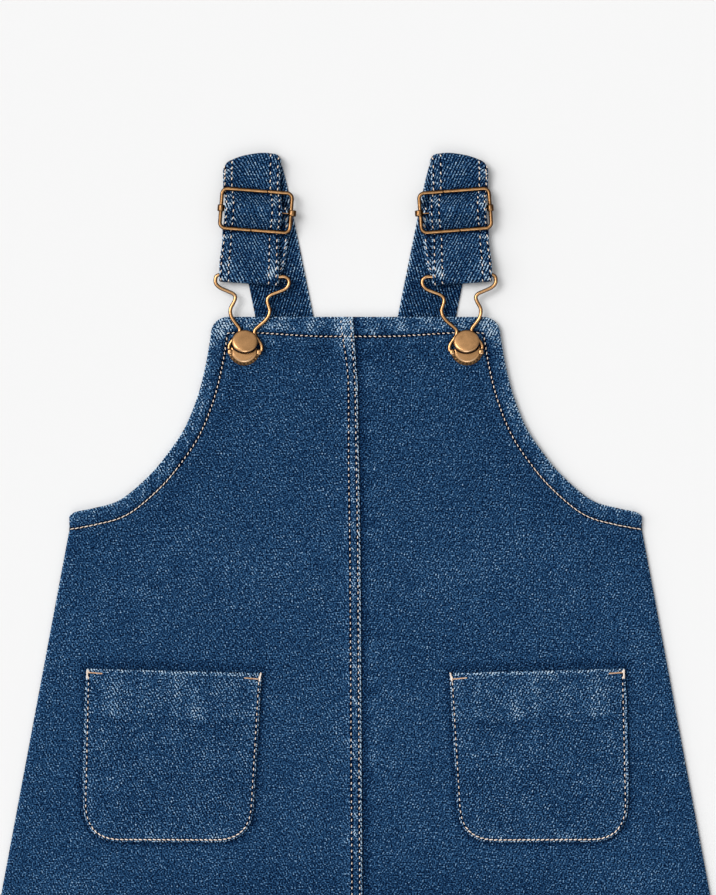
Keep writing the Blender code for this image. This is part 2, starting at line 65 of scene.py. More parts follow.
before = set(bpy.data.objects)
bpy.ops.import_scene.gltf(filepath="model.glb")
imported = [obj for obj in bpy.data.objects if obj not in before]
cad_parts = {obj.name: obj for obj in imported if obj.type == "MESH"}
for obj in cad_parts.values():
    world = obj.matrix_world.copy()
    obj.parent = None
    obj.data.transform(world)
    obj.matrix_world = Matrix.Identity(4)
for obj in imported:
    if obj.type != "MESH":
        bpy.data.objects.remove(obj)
CAD_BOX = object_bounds()

MM = 0.001
WORD = {-1: "left", 1: "right"}
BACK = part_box("back_panel")
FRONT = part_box("front_panel_left")
HEM = FRONT[0].y
HEM_HALF = -FRONT[0].x
BIB_TOP = FRONT[1].y
BACK_TOP = BACK[1].y
CLOTH = BACK[1].z - BACK[0].z
FRONT_FLOOR = FRONT[0].z
GAP = FRONT_FLOOR - CLOTH
FRONT_TOP = FRONT_FLOOR + CLOTH
TURNED = FRONT[1].z - FRONT_TOP
LOWEST = 0.05 * MM

# Outline of the dress
HEM_RISE = 12.5 * MM
HEM_BOW = 10 * MM
SIDE_TOP = Vector((143.2, 77.5)) * MM
UNDERARM_AT_MIDDLE = 60 * MM
BORDER = 8.5 * MM
ARMHOLE = (  # out, up in millimetres, from the underarm to the bib corner
    (143.3, 83.8),
    (140.0, 86.1),
    (131.3, 87.9),
    (117.8, 92.1),
    (103.3, 104.2),
    (93.3, 116.2),
    (85.3, 128.4),
    (79.0, 144.0),
    (74.9, 160.0),
    (72.2, 176.0),
    (71.4, 181.0),
)
ARMHOLE_BEYOND = (  # where the fold's line goes on past the underarm corner
    (152.0, 84.5),
    (146.0, 85.4),
)
SEAM = (  # up, x in millimetres: the fold of the felled seam
    (-265.5, 4.0),
    (-105.0, 3.4),
    (67.0, 2.4),
    (151.0, 1.0),
    (183.6, -1.4),
)
SEAM_NEAR_ROW = 1.3 * MM
SEAM_FAR_ROW = (  # up, distance from the fold in millimetres
    (-265.5, 5.2),
    (109.0, 5.2),
    (131.0, 4.8),
    (151.0, 4.5),
    (163.0, 4.8),
    (174.0, 5.9),
    (183.6, 6.2),
)
SEAM_TUCK = 0.8 * MM
FELLED = 0.65 * MM
SEAM_STEPS = {  # places of the mesh beside the seam, in millimetres from each panel's edge
    -1: (0, 0.12, 0.3, 0.6, 1.0, 1.5, 2.1, 2.8, 3.5, 4.2, 4.8, 5.3, 5.8, 6.3, 6.8, 7.3, 8.0),
    1: (0, 0.4, 0.8, 1.2, 1.6, 2.2, 3.0, 4.0, 5.2, 6.6, 8.0),
}
FRONT_FILL = 72  # mesh places between the seam and the border
BACK_FILL = 36
FINE_BIB = 26 * MM  # length of armhole beside the bib whose mesh rows are half as far apart
ROPE_TOP = 108 * MM  # up to here the armhole's stitches lie close together
RIM_ROPES = (0.0026, 0.0044)  # size of the ropes at the underarm and on the bib
RIM_WEAR = (0.36, 0.52)  # how pale their crests are there
RIM_PALE = (0.09, 0.12)  # fade of the turned edge at the armhole and along the top
POCKET_PAINTED_SHADOW = (0.38, 0.45)  # painted shadow beside a pocket: broad, and close to its edge
SIDE_ROLL = 3.5 * MM  # how far in from the side seam the cloth rolls down
ROLL_OVER = 1.35 * MM
ROLL_UNDER = 0.75 * MM

# Pockets: the outer and the inner end of the mouth and of the foot
POCKET_TOP = (Vector((134.5, 7.8)) * MM, Vector((46.9, 5.5)) * MM)
POCKET_FOOT = (Vector((135.3, -78.8)) * MM, Vector((52.0, -79.0)) * MM)
POCKET_CORNER = 18 * MM
POCKET_BOW = 1.5 * MM
POCKET_FACING = 24 * MM
POCKET_ROW = 1.2 * MM
MOUTH_UPRIGHTS = (  # cream bar tacks as (out, up) to (out, up), in millimetres
    (134.0, 7.2, 134.1, 3.0),
    (47.3, 5.6, 48.1, 1.6),
)
MOUTH_BARS = (  # the tan ones beside them
    (133.4, 5.9, 126.6, 5.4),
    (55.4, 3.2, 48.7, 2.6),
)

# Straps
STRAP_WIDTH = 28.6 * MM
STRAP_BACK_TILT = math.radians(11.4)
STRAP_TOP_TILT = math.radians(8.5)
TOP_FOLD_BOW = 3.2 * MM
BOW_REACH = 16 * MM
TOP_CORNER = 2.4 * MM
STRAP_FLARE = 1.1 * MM
STRAP_MESH = (0.85 * MM, 0.75 * MM)  # distance between the places of its mesh, across and along
HARDWARE_TILT = math.radians(-4.4)
STRAP_AT_BIB = Vector((35.5, 183.0)) * MM
TOP_FOLD_RADIUS = 2.2 * MM
STRAP_AT_FOLD = 51.8 * MM
STRAP_AT_SLIDER = 50.9 * MM
STRAP_AT_CLIP = 52.7 * MM
RETURN_AT_BAR = 48.1 * MM
STRAP_ROWS = (-13.1 * MM, -9.4 * MM, 9.9 * MM, 13.4 * MM)
RETURN_SHARE = 0.80  # of the strap's length: from here on its sewn end lies behind it

# Fittings
SLIDER_AT = Vector((49.7, 236.5)) * MM
SLIDER_HALF = Vector((17.5, 9.9)) * MM
SLIDER_CORNER = 2.8 * MM
SLIDER_WIRE = 0.96 * MM
SLIDER_BAR = 0.65 * MM
SLIDER_JOINTS = {8: (5.2, 1), 26: (-1.7, -1)}  # after which place: across in millimetres, end
JOINT_GIRTHS = (  # distance along the wire in millimetres, share of its thickness
    (-0.6, 1.0),
    (-0.25, 0.98),
    (0.0, 0.72),
    (0.25, 0.98),
    (0.6, 1.0),
)
CLIP_AT = Vector((55.0, 169.0)) * MM
CLIP_WIRE = 0.94 * MM
CLIP_FOLD_UP = 202.5 * MM
CLIP_OUTER_LEG = (  # across, along in millimetres: from the strap down to the plate
    (-15.4, 34.6),
    (-17.1, 33.6),
    (-17.5, 31.6),
    (-16.9, 29.6),
    (-14.7, 27.9),
    (-11.1, 26.6),
    (-8.2, 25.5),
    (-6.9, 23.9),
    (-7.4, 21.4),
    (-8.7, 18.5),
    (-8.8, 16.0),
    (-7.8, 13.3),
    (-5.6, 10.6),
    (-3.5, 8.0),
    (-4.1, 5.6),
    (-5.8, 3.4),
    (-7.2, 1.6),
    (-8.1, -0.4),
    (-8.1, -2.0),
)
CLIP_INNER_LEG = (
    (14.4, 35.7),
    (16.7, 35.9),
    (18.8, 34.7),
    (19.2, 32.5),
    (17.8, 30.0),
    (14.5, 28.2),
    (10.8, 26.4),
    (9.1, 24.1),
    (9.7, 21.3),
    (10.7, 18.7),
    (10.3, 15.8),
    (8.6, 13.1),
    (6.0, 10.5),
    (4.0, 8.1),
    (4.4, 5.6),
    (6.2, 3.3),
    (7.6, 1.5),
    (8.2, -0.2),
    (8.1, -2.0),
)
PLATE_AT = Vector((-0.57, -1.7)) * MM
PLATE_RADIUS = 7.1 * MM
PLATE_SPREAD = 1.0 * MM
PLATE_HOLLOW = (6.5 * MM, 8.3 * MM)
PLATE_THICK = 2.1 * MM
PLATE_ROUND = 1.2 * MM
PLATE_UPPER_ROUND = 0.5 * MM
PLATE_CHAMFER = 0.45
EARS_AT = (Vector((-7.4, -3.6)) * MM, Vector((6.95, -2.6)) * MM)
EAR_SIZE = Vector((2.6, 2.9, 2.8)) * MM
BUTTON_AT = Vector((-0.40, 1.2)) * MM
BUTTON_LEAN = math.radians(18)
BUTTON_FOOT = 2.7 * MM
SHARP = math.radians(55)

# Heights of the middle of each layer in a strap, and of the wires
BACK_LEVEL = CLOTH / 2
RETURN_LEVEL = BACK_LEVEL + CLOTH + GAP
FRONT_LEVEL = RETURN_LEVEL + CLOTH + GAP
SLIDER_LEVEL = FRONT_LEVEL + CLOTH / 2 + GAP + SLIDER_WIRE
WRAP_RADIUS = SLIDER_WIRE + GAP + CLOTH / 2
OVER_BAR_LEVEL = SLIDER_LEVEL + WRAP_RADIUS + CLOTH + GAP
CLIP_LEVEL = FRONT_TOP + TURNED + GAP + CLIP_WIRE
CLIP_FOLD = CLIP_WIRE + GAP + CLOTH / 2

# Creases, as (out, up) to (out, up), lift and half width in millimetres.
# A trough's lift is negative.
FRONT_CREASES = (
    (128, 74, 101, 52, 0.45, 6.0),
    (133, 62, 112, 38, -0.35, 5.0),
    (118, 84, 88, 92, 0.30, 5.0),
    (60, 158, 48, 118, -0.25, 5.5),
    (38, 166, 30, 132, 0.25, 6.0),
    (22, 60, 30, -14, 0.30, 9.0),
    (140, 10, 152, -60, -0.35, 8.0),
    (44, -20, 38, -96, -0.30, 7.0),
    (60, -92, 76, -246, 0.95, 13.0),
    (98, -96, 124, -252, -0.70, 12.0),
    (140, -88, 172, -246, 0.85, 14.0),
    (22, -110, 27, -250, -0.55, 10.0),
)
BACK_CREASES = (
    (30, 120, 24, 20, 0.35, 9.0),
    (112, 70, 84, 40, 0.40, 8.0),
    (70, 10, 86, -220, 0.55, 14.0),
    (118, -20, 160, -230, -0.35, 12.0),
)

# Rubbed places on the bib, as (x, up) to (x, up), strength and half width, in millimetres
WORN = (
    (-6.1, 178.0, -3.8, 182.7, 0.6, 0.6),
    (-1.6, 175.5, -1.2, 182.5, 0.6, 0.5),
    (2.2, 167.5, 7.2, 171.3, 0.35, 0.8),
    (-9.8, 168.5, -6.0, 170.5, 0.2, 2.0),
    (-11.0, 181.0, -9.5, 176.5, 0.25, 1.6),
    (11.0, 181.0, 9.5, 176.5, 0.25, 2.0),
    (-45.0, 179.0, -14.0, 179.0, 0.22, 2.6),
)
WORN_BOTH = (  # the same on both sides, as out instead of x
    (67.5, 176.0, 66.0, 179.5, 0.85, 3.2),
    (54.5, 177.0, 53.5, 181.0, 0.2, 2.4),
    (44.5, 181.5, 42.0, 177.0, 0.35, 2.0),
    (34.0, 181.0, 31.5, 176.5, 0.35, 1.8),
    (23.5, 180.5, 21.5, 176.5, 0.3, 1.6),
    (42.5, 171.5, 39.0, 169.5, 0.25, 1.5),
    (28.0, 171.0, 24.0, 169.5, 0.2, 1.4),
)

# Stitches: how the rows differ from plain ones in lean, share of the pitch filled and thickness
ROW_LOOKS = {
    "armhole": dict(lean=-0.12, reach=0.92, bulk=0.87),
    "rim": dict(lean=-0.25, bulk=0.92),
    "seam": dict(lean=0.15, reach=0.44, bulk=0.9),
    "pocket foot": dict(lean=0.2, reach=0.85, bulk=1.15),
    "pocket side": dict(reach=0.48, bulk=0.9),
}
FOOT_PITCH = 0.75  # of the plain pitch
STRAP_REACH = 0.7  # of the plain reach
STRAP_LEAN = 0.22
UPRIGHT_WIDTH = 0.9 * MM
BAR_WIDTH = 0.75 * MM

# Denim: sizes of its patterns
STEEPNESS = 1.85  # how far the twill lines climb for each step across
PANEL_PITCH = 1.34 * MM
STRAP_PITCH = 1.40 * MM
DASH = 0.45 * MM  # length of a dash along a line
WARP = 0.50 * MM  # a single thread's place, across and along
PICKS = 0.44 * MM
GRIT_SIZE = 0.71 * MM
SWAY = 0.2 * MM
PULL_PITCH = 1.1 * MM  # between the lines that the seam's stitches draw
PULL_WAY = (0.79, -0.61)
GROOVE = (0.95 * MM, 0.3 * MM)  # from a row of stitches: where its painted groove shadow starts and is full
POCKET_GROOVE = 1.4  # how much narrower it is than on the panels
STRAP_GROOVE = 1.7
DRIFT = 0.6

# Denim: shares of its patterns in the tone, from -0.4 for the painted shadow in a groove to 1.4 for
# bare weft
TWILL = 0.12
DASHED = 0.15
SLUB = 0.10
PICK = 0.10
FLECK = 0.35
CLOUD = 0.04
GRIT = 2.1
RIB_WEAR = 0.22  # how much deeper the lines are where the cloth is rubbed
GAIN = 1.25  # and all the patterns together
LEVEL = 0.313  # the plain tone
# How far the fade, painted shade included, moves the tone
FADE_AND_SHADE = 0.45
ROW_PAINTED_SHADOW = 0.72
TONE_LOW = 0.4
TONE_SPAN = 1.8

# Brass: painted highlight on its rims towards the hem, where they face up by more than this
RIM_FACING = 0.68
RIM_HIGHLIGHT = -7.0
BRASS_FINISHES = {  # size of the specks in millimetres, dullness, painted shade on steep faces
    "slider": (0.9, 0.56, 3.0),
    "wire": (0.9, 0.10, 4.0),
    "plate": (0.4, 0.16, 1.3),
    "head": (0.4, 0.32, 0.6),
}

# Light
SKY = (  # height on the sky, grey
    (0.0, 0.45),
    (0.35, 0.9),
    (0.75, 1.25),
    (0.97, 0.75),
)
LAMPS = (  # name, share of the key's strength, tilt about X and Y, softness in degrees
    ("key light", 1.0, (-14, -32), 34),
    ("side light", 0.55, (-6, -63), 55),
    ("front light", 0.14, (50, -2), 26),
)

# A place on a cloth: its two faces, fade with painted shade, distance from a stitched row, drawn
# lines, and its measure across and along the cloth
Spot = namedtuple("Spot", "under over fade row pull weave")


# ---------------------------------------------------------------- settings


def length(name, description, value):
    return FloatProperty(name=name, description=description, default=value, min=0.0,
                         subtype="DISTANCE", unit="LENGTH")


def number(name, description, value):
    return FloatProperty(name=name, description=description, default=value)


def colour(name, description, value):
    return FloatVectorProperty(name=name, description=description, default=value,
                               subtype="COLOR", size=3, min=0.0, max=1.0)


class ClothSettings(bpy.types.PropertyGroup):
    """Sizes of the cloth's edges and of its mesh."""
    band: length("Edge band", "Depth of the turned edge at the armholes and bib", 8.25 * MM)
    hem_row: length("Hem row", "Height of the stitches over the hem's fold", 13.5 * MM)
    strap_wall: length("Strap thickness", "Thickness of the doubled strap", 1.35 * MM)
    spacing: length("Mesh spacing", "Distance between the rows of a front panel's mesh", 1.4 * MM)
    back_spacing: length("Back spacing", "The same for the plainer back panel", 2.3 * MM)


class StitchSettings(bpy.types.PropertyGroup):
    """Sizes of the stitches."""
    pitch: length("Pitch", "Distance between stitches in a row", 3.08 * MM)
    rim_pitch: length("Rim pitch", "The same round the armholes and the bib", 2.42 * MM)
    strap_pitch: length("Strap pitch", "The same on the straps", 3.65 * MM)
    reach: number("Reach", "Share of the pitch that a stitch fills", 0.62)
    thread: length("Thread", "Thickness of the topstitching thread", 0.6 * MM)
    tack_thread: length("Tack thread", "Thickness of the thread in a bar tack", 0.42 * MM)


class ColourSettings(bpy.types.PropertyGroup):
    """Colours, as linear values."""
    indigo: colour("Indigo", "The deepest dye, in the twill's hollows", (0.0002, 0.0058, 0.0270))
    # The darkest blue, reached mostly in painted shade: beside stitched rows and in painted
    # shadows.
    gap: colour("Gap", "The dark of a stitched groove", (0.0001, 0.0016, 0.0080))
    blue: colour("Blue", "The middle tone", (0.0100, 0.0412, 0.1060))
    washed: colour("Washed", "Blue that has been rubbed", (0.0370, 0.1130, 0.2340))
    pale: colour("Pale", "Blue worn nearly through", (0.1700, 0.3050, 0.4600))
    weft: colour("Weft", "The white weft, where the dye is gone", (0.4800, 0.6000, 0.7000))
    cream: colour("Cream thread", "Topstitching", (1.000, 0.880, 0.770))
    # Tan also gives the cream thread its painted shade along the twist
    tan: colour("Tan thread", "Bar tacks and the shaded side of the thread", (0.560, 0.300, 0.140))
    brass: colour("Brass", "Rubbed antique brass", (0.850, 0.466, 0.205))
    # Painted highlight: the colour of the brass's lit rims
    bright: colour("Bright brass", "Brass polished by wear", (1.000, 0.840, 0.620))
    # Dark film, also used for painted shade on the brass's steep sides
    film_and_shade: colour("Patina", "Dark film on the brass", (0.060, 0.024, 0.006))
    floor: colour("Floor", "Pale studio floor", (0.800, 0.800, 0.800))


class StageSettings(bpy.types.PropertyGroup):
    """Camera and light."""
    height: length("View height", "Height of the view at the cloth", 447.5 * MM)
    distance: length("Camera distance", "Height of the camera over the cloth", 1.5)
    below_top: length("Below the top", "From the straps' top to the view's middle", 147.25 * MM)
    aside: length("Aside", "From the dress's middle to the view's middle", 1.2 * MM)
    dome: number("Dome", "Strength of the light all round", 0.485)
    key: number("Key", "Strength of the soft light from the left", 1.86)


# ---------------------------------------------------------------- lines and shapes


def between(a, b, share):
    return a + (b - a) * share


def ease(low, high, value):
    """0 at low and 1 at high, smooth between them. Low may be the greater one."""
    share = min(1.0, max(0.0, (value - low) / (high - low)))
    return share * share * (3 - 2 * share)


def hill(distance, width):
    """1 at no distance, falling off smoothly over the width."""
    return math.exp(-(distance / width) ** 2)


def waver(across, along, seed):
    """Smooth unevenness between about -1 and 1, at cell sizes of 1."""
    return 1.6 * noise.noise(Vector((across, along, seed)))


def at_height(table, up):
    """Read a table of (up, value) rows, in millimetres, at one height in metres."""
    for (low, first), (high, second) in zip(table, table[1:]):
        if up <= high * MM:
            share = max(0.0, (up - low * MM) / ((high - low) * MM))
            return between(first, second, share) * MM
    return table[-1][1] * MM


def smooth_line(points, steps):
    """A Catmull-Rom line through the points, with some steps in each span."""
    ends = [points[0] * 2 - points[1]] + points + [points[-1] * 2 - points[-2]]
    line = []
    for a, b, c, d in zip(ends, ends[1:], ends[2:], ends[3:]):
        for step in range(steps):
            t = step / steps
            line.append(
                (b * 2 + (c - a) * t + (a * 2 - b * 5 + c * 4 - d) * t * t
                 + (b * 3 - a - c * 3 + d) * t ** 3) / 2
            )
    line.append(points[-1].copy())
    return line


def distances(line):
    """How far along the line each of its points is."""
    far = [0.0]
    for a, b in zip(line, line[1:]):
        far.append(far[-1] + (b.to_3d() - a.to_3d()).length)
    return far


def at_shares(line, shares):
    """Points at rising shares of a line's length."""
    far = distances(line)
    spread = []
    span = 1
    for share in shares:
        wanted = far[-1] * share
        while span < len(line) - 1 and far[span] < wanted:
            span += 1
        reach = max(far[span] - far[span - 1], 1e-9)
        spread.append(line[span - 1].lerp(line[span], min(1.0, (wanted - far[span - 1]) / reach)))
    return spread


def evenly(line, gap):
    """Points about a gap apart along a line, both ends included."""
    count = max(1, round(distances(line)[-1] / gap))
    return at_shares(line, [step / count for step in range(count + 1)])


def fine_then_even(span, gap, fine=(0.0, 0.12, 0.3, 0.6, 1.0)):
    """Shares of a span: close together over its first millimetre, then a gap apart."""
    start = fine[-1] * MM
    count = max(2, round((span - start) / gap))
    shares = [step * MM / span for step in fine]
    shares += [between(start, span, step / count) / span for step in range(1, count + 1)]
    return shares


def normals(line):
    """The direction to the left of a flat line's course, at each of its points."""
    ways = []
    for i in range(len(line)):
        way = line[min(i + 1, len(line) - 1)] - line[max(i - 1, 0)]
        ways.append(Vector((-way.y, way.x)).normalized())
    return ways


class Line:
    """A line on the cloth, sampled finely so that the distance to it is quick to find."""

    def __init__(self, points, gap=0.2 * MM):
        self.points = evenly(points, gap)
        self.far = distances(self.points)
        self.tree = KDTree(len(self.points))
        for i, point in enumerate(self.points):
            self.tree.insert((point.x, point.y, 0.0), i)
        self.tree.balance()

    def near(self, point):
        """The distance from the line, and how far along it the nearest place is."""
        place, index, distance = self.tree.find((point.x, point.y, 0.0))
        return distance, self.far[index]


# ---------------------------------------------------------------- outline of a half


def armhole_line(top):
    """The armhole, from the underarm corner to where the top corner starts to round."""
    curve = smooth_line([Vector(row) * MM for row in ARMHOLE], 8)
    start = top - BORDER
    curve = [point for point in curve if point.y < start]
    slope = (curve[-1] - curve[-2]) / (curve[-1].y - curve[-2].y)
    return curve + [curve[-1] + slope * (start - curve[-1].y)]


def hem_up(share):
    """Height of the hem at a share of the half width."""
    return HEM + HEM_RISE * share - HEM_BOW * share * (1 - share)


def hem_line():
    """The hem's fold, from the middle to the side."""
    return [Vector((HEM_HALF * step / 24, hem_up(step / 24))) for step in range(25)]


def side_line():
    """The side seam, from the hem to the underarm corner."""
    return [Vector((HEM_HALF, hem_up(1.0))), SIDE_TOP.copy(), Vector(ARMHOLE[0]) * MM]


def top_line(top):
    """The rounded corner and the top edge, to past the middle."""
    centre = armhole_line(top)[-1] - Vector((BORDER, 0.0))
    corner = []
    for step in range(1, 13):
        way = math.pi / 2 * step / 12
        corner.append(centre + BORDER * Vector((math.cos(way), math.sin(way))))
    return corner + [Vector((-8 * MM, top))]


def armhole_fold(top):
    """The armhole's fold, run straight out past the rounded underarm corner."""
    beyond = [Vector(row) * MM for row in ARMHOLE_BEYOND]
    return beyond + [point for point in armhole_line(top) if point.y > ARMHOLE[1][1] * MM]


def corner_block(centre, across, up):
    """A square grid's place in the quarter disc of the rounded corner."""
    round_out = across * math.sqrt(1 - up * up / 2)
    round_up = up * math.sqrt(1 - across * across / 2)
    return centre + BORDER * Vector((round_out, round_up))


def half_rows(top, middle_at, seam_steps, gap, fill):
    """Rows of (out, up) over half a panel, from the hem to the top.

    A row runs from the middle, through the steps beside the seam and an even fill, to the
    border, which follows the outer edge.
    """
    side = side_line()
    armhole = armhole_line(top)
    inner_top = top - BORDER
    hem_corner = side[0]
    lower = fine_then_even(distances(side)[-1], gap)
    span = distances(armhole)[-1]
    coarse = round((span - FINE_BIB) / gap)
    fine = round(2 * FINE_BIB / gap)
    upper = [step / coarse * (1 - FINE_BIB / span) for step in range(1, coarse + 1)]
    upper += [1 - FINE_BIB / span * (1 - step / fine) for step in range(1, fine + 1)]
    corner = armhole[0] - Vector((BORDER * 1.05, BORDER * 0.85))
    offsets = [point + way * BORDER for point, way in zip(armhole, normals(armhole))]
    inner_side = [hem_corner - Vector((BORDER, BORDER * 0.19)), corner]
    inner_armhole = [corner] + offsets[14:-6] + [armhole[-1] - Vector((BORDER, 0.0))]
    inner_armhole = smooth_line(evenly(inner_armhole, 12 * MM), 6)

    edge = at_shares(side, lower) + at_shares(armhole, upper)
    inner = at_shares(inner_side, lower) + at_shares(inner_armhole, upper)
    middle = [between(HEM, UNDERARM_AT_MIDDLE, share) for share in lower]
    middle += [between(UNDERARM_AT_MIDDLE, inner_top, share) for share in upper]

    border = [1 - share for share in fine_then_even(BORDER, 0.8 * MM)][::-1]
    rows = []
    for i, up in enumerate(middle):
        bow = HEM_BOW * max(0.0, 1 - i / len(lower))
        rows.append(one_row(middle_at, up, bow, inner[i], edge[i], seam_steps, border, fill))
    centre = inner[-1]
    for share in border[1:]:
        up = between(inner_top, top, share)
        start = Vector((centre.x, up))
        row = one_row(middle_at, up, 0.0, start, start, seam_steps, border[:1], fill)
        rows.append(row + [corner_block(centre, across, share) for across in border[1:]])
    return rows


def one_row(middle_at, up, bow, inner, edge, seam_steps, border, fill):
    """One row's places, from the middle to the outer edge, bowed as the hem is."""
    start = middle_at(up)
    row = [Vector((start + step, up)) for step in seam_steps]
    begin = Vector((start + seam_steps[-1], up))
    for step in range(1, fill):
        share = step / fill
        point = begin.lerp(inner, share)
        row.append(Vector((point.x, point.y - bow * share * (1 - share))))
    return row + [inner.lerp(edge, share) for share in border]


# ---------------------------------------------------------------- relief of the cloth


def past(point, start, end):
    """How far along a short line a place lies, as a share, and how far off it."""
    start = Vector(start) * MM
    way = Vector(end) * MM - start
    share = (point - start).dot(way) / way.length_squared
    return share, (point - start - way * min(1.0, max(0.0, share))).length


def lie(point, creases=FRONT_CREASES):
    """How far the cloth lifts off its bed: gentle unevenness and the listed creases."""
    out, up = abs(point.x), point.y
    height = 0.16 * MM * (0.6 + waver(out / 0.055, up / 0.07, 3.0))
    height += 0.05 * MM * waver(out / 0.016, up / 0.02, 9.0)
    for *line, lift, width in creases:
        share, off = past(Vector((out, up)), line[:2], line[2:])
        if off < 2.5 * width * MM:
            ends = ease(-0.25, 0.35, share) * ease(1.25, 0.65, share)
            sway = 0.75 + 0.25 * waver(share * 3, lift, 5.0)
            height += lift * MM * hill(off, width * MM) * ends * sway
    return height


def rim_row(point, top, band):
    """How deep the turned edge is stitched: less along the top, but deeper at its middle."""
    out = abs(point.x)
    change = 2.0 * MM * ease(58 * MM, 14 * MM, out) - 0.45 * MM * ease(64 * MM, 58 * MM, out)
    return band + change * ease(top - 30 * MM, top - 15 * MM, point.y)


def ropes(along, across, size, lean, seed):
    """The slanting ropes that shrunken stitching draws up, about 1 on their crests."""
    lean = along + lean * across
    coarse = waver(lean / size, across / (3.5 * size), seed)
    return coarse + 0.55 * waver(lean / (0.45 * size), across / (1.8 * size), seed + 3)


def rubbed(rope):
    """How far a rope's crest has been rubbed pale."""
    return 0.75 * max(0.0, rope - 0.05) - 0.25 * max(0.0, -rope)


def stitched_edge(depth, along, row, lift, seed, size=0.0048, wear=1.0, pale=0.0):
    """Height, and fade with a painted shadow line, of a turned edge: raised as far as its stitches,
    which rope it.
    """
    inside = ease(row + 0.5 * MM, row - 0.9 * MM, depth)
    rope = ropes(along, depth, size, 0.6, seed)
    beyond = max(0.0, depth - row)
    reach = inside * ease(0.0, 2.5 * MM, depth) + (1 - inside) * math.exp(-beyond / (3 * MM))
    trough = hill(depth - row, 0.8 * MM)
    height = lift * inside + 0.15 * MM * rope * reach - 0.22 * MM * trough
    fade = inside * (pale + wear * rubbed(rope)) + 0.5 * hill(depth, 0.9 * MM)
    fade += (1 - inside) * 0.5 * wear * rubbed(rope) * math.exp(-beyond / (3.5 * MM))
    fade += (1 - inside) * pale * hill(beyond - 3 * MM, 2.2 * MM)
    # Painted shadow: a dark line along the band side of the stitched row
    fade -= 0.35 * hill(depth - row + 1.1 * MM, 0.9 * MM)
    return height, fade


def felled(depth, along, up):
    """The seam's raised band, with a row of stitches near each side, roped and rubbed pale."""
    far_row = at_height(SEAM_FAR_ROW, up)
    raised = ease(far_row + 1.5 * MM, far_row + 0.4 * MM, depth)
    rope = ropes(along, depth, 0.0038, -0.75, 21.0)
    rows = hill(depth - SEAM_NEAR_ROW, 0.6 * MM) + hill(depth - far_row, 0.6 * MM)
    beyond = math.exp(-max(0.0, depth - far_row) / (3.5 * MM))
    height = FELLED * raised + 0.13 * MM * rope * (raised + 0.6 * (1 - raised) * beyond)
    height -= 0.15 * MM * rows
    fade = raised * (0.04 + 0.8 * rubbed(rope)) + 1.1 * hill(depth - 0.4 * MM, 0.7 * MM)
    streak = waver((along + 0.5 * depth) / 0.0045, depth / 0.012, 27.0)
    fade += 0.5 * max(0.0, streak) * (1 - raised) * beyond
    return height, fade


def patches(point, table):
    """The listed rubbed places on the bib."""
    fade = 0.0
    if point.y < 160 * MM:
        return fade
    for *line, strength, width in table:
        if abs(point.x / MM - line[0]) < 6 + 2 * width:
            fade += strength * hill(past(point, line[:2], line[2:])[1], width * MM)
    return fade


def pulled(seam, up):
    """How strongly the seam's stitches draw fine slanting lines: most just under the bib's edge."""
    far_row = at_height(SEAM_FAR_ROW, up)
    on_band = ease(0.2 * MM, 1.0 * MM, seam) * ease(far_row + 0.6 * MM, far_row - 0.4 * MM, seam)
    beyond = hill(max(0.0, seam - far_row), 3.2 * MM) * (1 - on_band)
    high = ease(156 * MM, 168 * MM, up)
    patchy = 1 + 0.7 * waver(up / 0.014, seam / 0.01, 25.0)
    below = 0.04 + 0.42 * high + 0.16 * hill(up - 153 * MM, 5 * MM)
    return patchy * (on_band * between(0.20, 0.6, high) + beyond * below)


def rounded(under, over, depth):
    """A fold's two faces, brought together in a half circle at its edge."""
    half = (over - under) / 2
    if depth >= half:
        return under, over
    bulge = half * math.sqrt(max(0.02, 1 - (1 - depth / half) ** 2))
    return (under + over) / 2 - bulge, (under + over) / 2 + bulge


def tone(point):
    """Broad unevenness of the wash over the front, painted shade towards the bottom middle, and a
    painted shadow just above each pocket's mouth.
    """
    out, up = abs(point.x), point.y
    fade = 0.05 * waver(out / 0.03, up / 0.04, 31.0) + 0.05 * waver(out / 0.011, up / 0.013, 33.0)
    # Painted shade: darker towards the bottom middle
    fade -= 0.16 * ease(-82 * MM, -108 * MM, up) * ease(118 * MM, 88 * MM, out)
    fade -= 0.05 * ease(100 * MM, 135 * MM, up)
    share = (out - POCKET_TOP[1].x) / (POCKET_TOP[0].x - POCKET_TOP[1].x)
    mouth_up = between(POCKET_TOP[1].y, POCKET_TOP[0].y, share)
    across = ease(40 * MM, 50 * MM, out) * ease(140 * MM, 132 * MM, out)
    # Painted shadow: a dark band just above the pocket's raised mouth
    fade -= 0.36 * hill(up - mouth_up - 2.2 * MM, 2.6 * MM) * across
    return fade


class PanelLines:
    """The lines of one half that its relief is measured from."""

    def __init__(self, top, middle_at):
        self.rim = Line(armhole_fold(top) + top_line(top))
        self.outline = Line(side_line() + armhole_line(top)[1:] + top_line(top))
        self.side = Line(side_line())
        self.hem = Line(hem_line())
        heights = [between(HEM - 3 * MM, BIB_TOP + 3 * MM, step / 30) for step in range(31)]
        self.seam = Line([Vector((middle_at(up), up)) for up in heights])


def middle_line(up):
    """The middle of the back, which has no seam."""
    return 0.0


def left_fold(up):
    """How far out the seam's fold lies on the left half."""
    return -at_height(SEAM, up)


def right_fold(up):
    """The same on the right half."""
    return at_height(SEAM, up)


def tucked_edge(up):
    """The right panel's edge, under the left one's fold."""
    return right_fold(up) - SEAM_TUCK


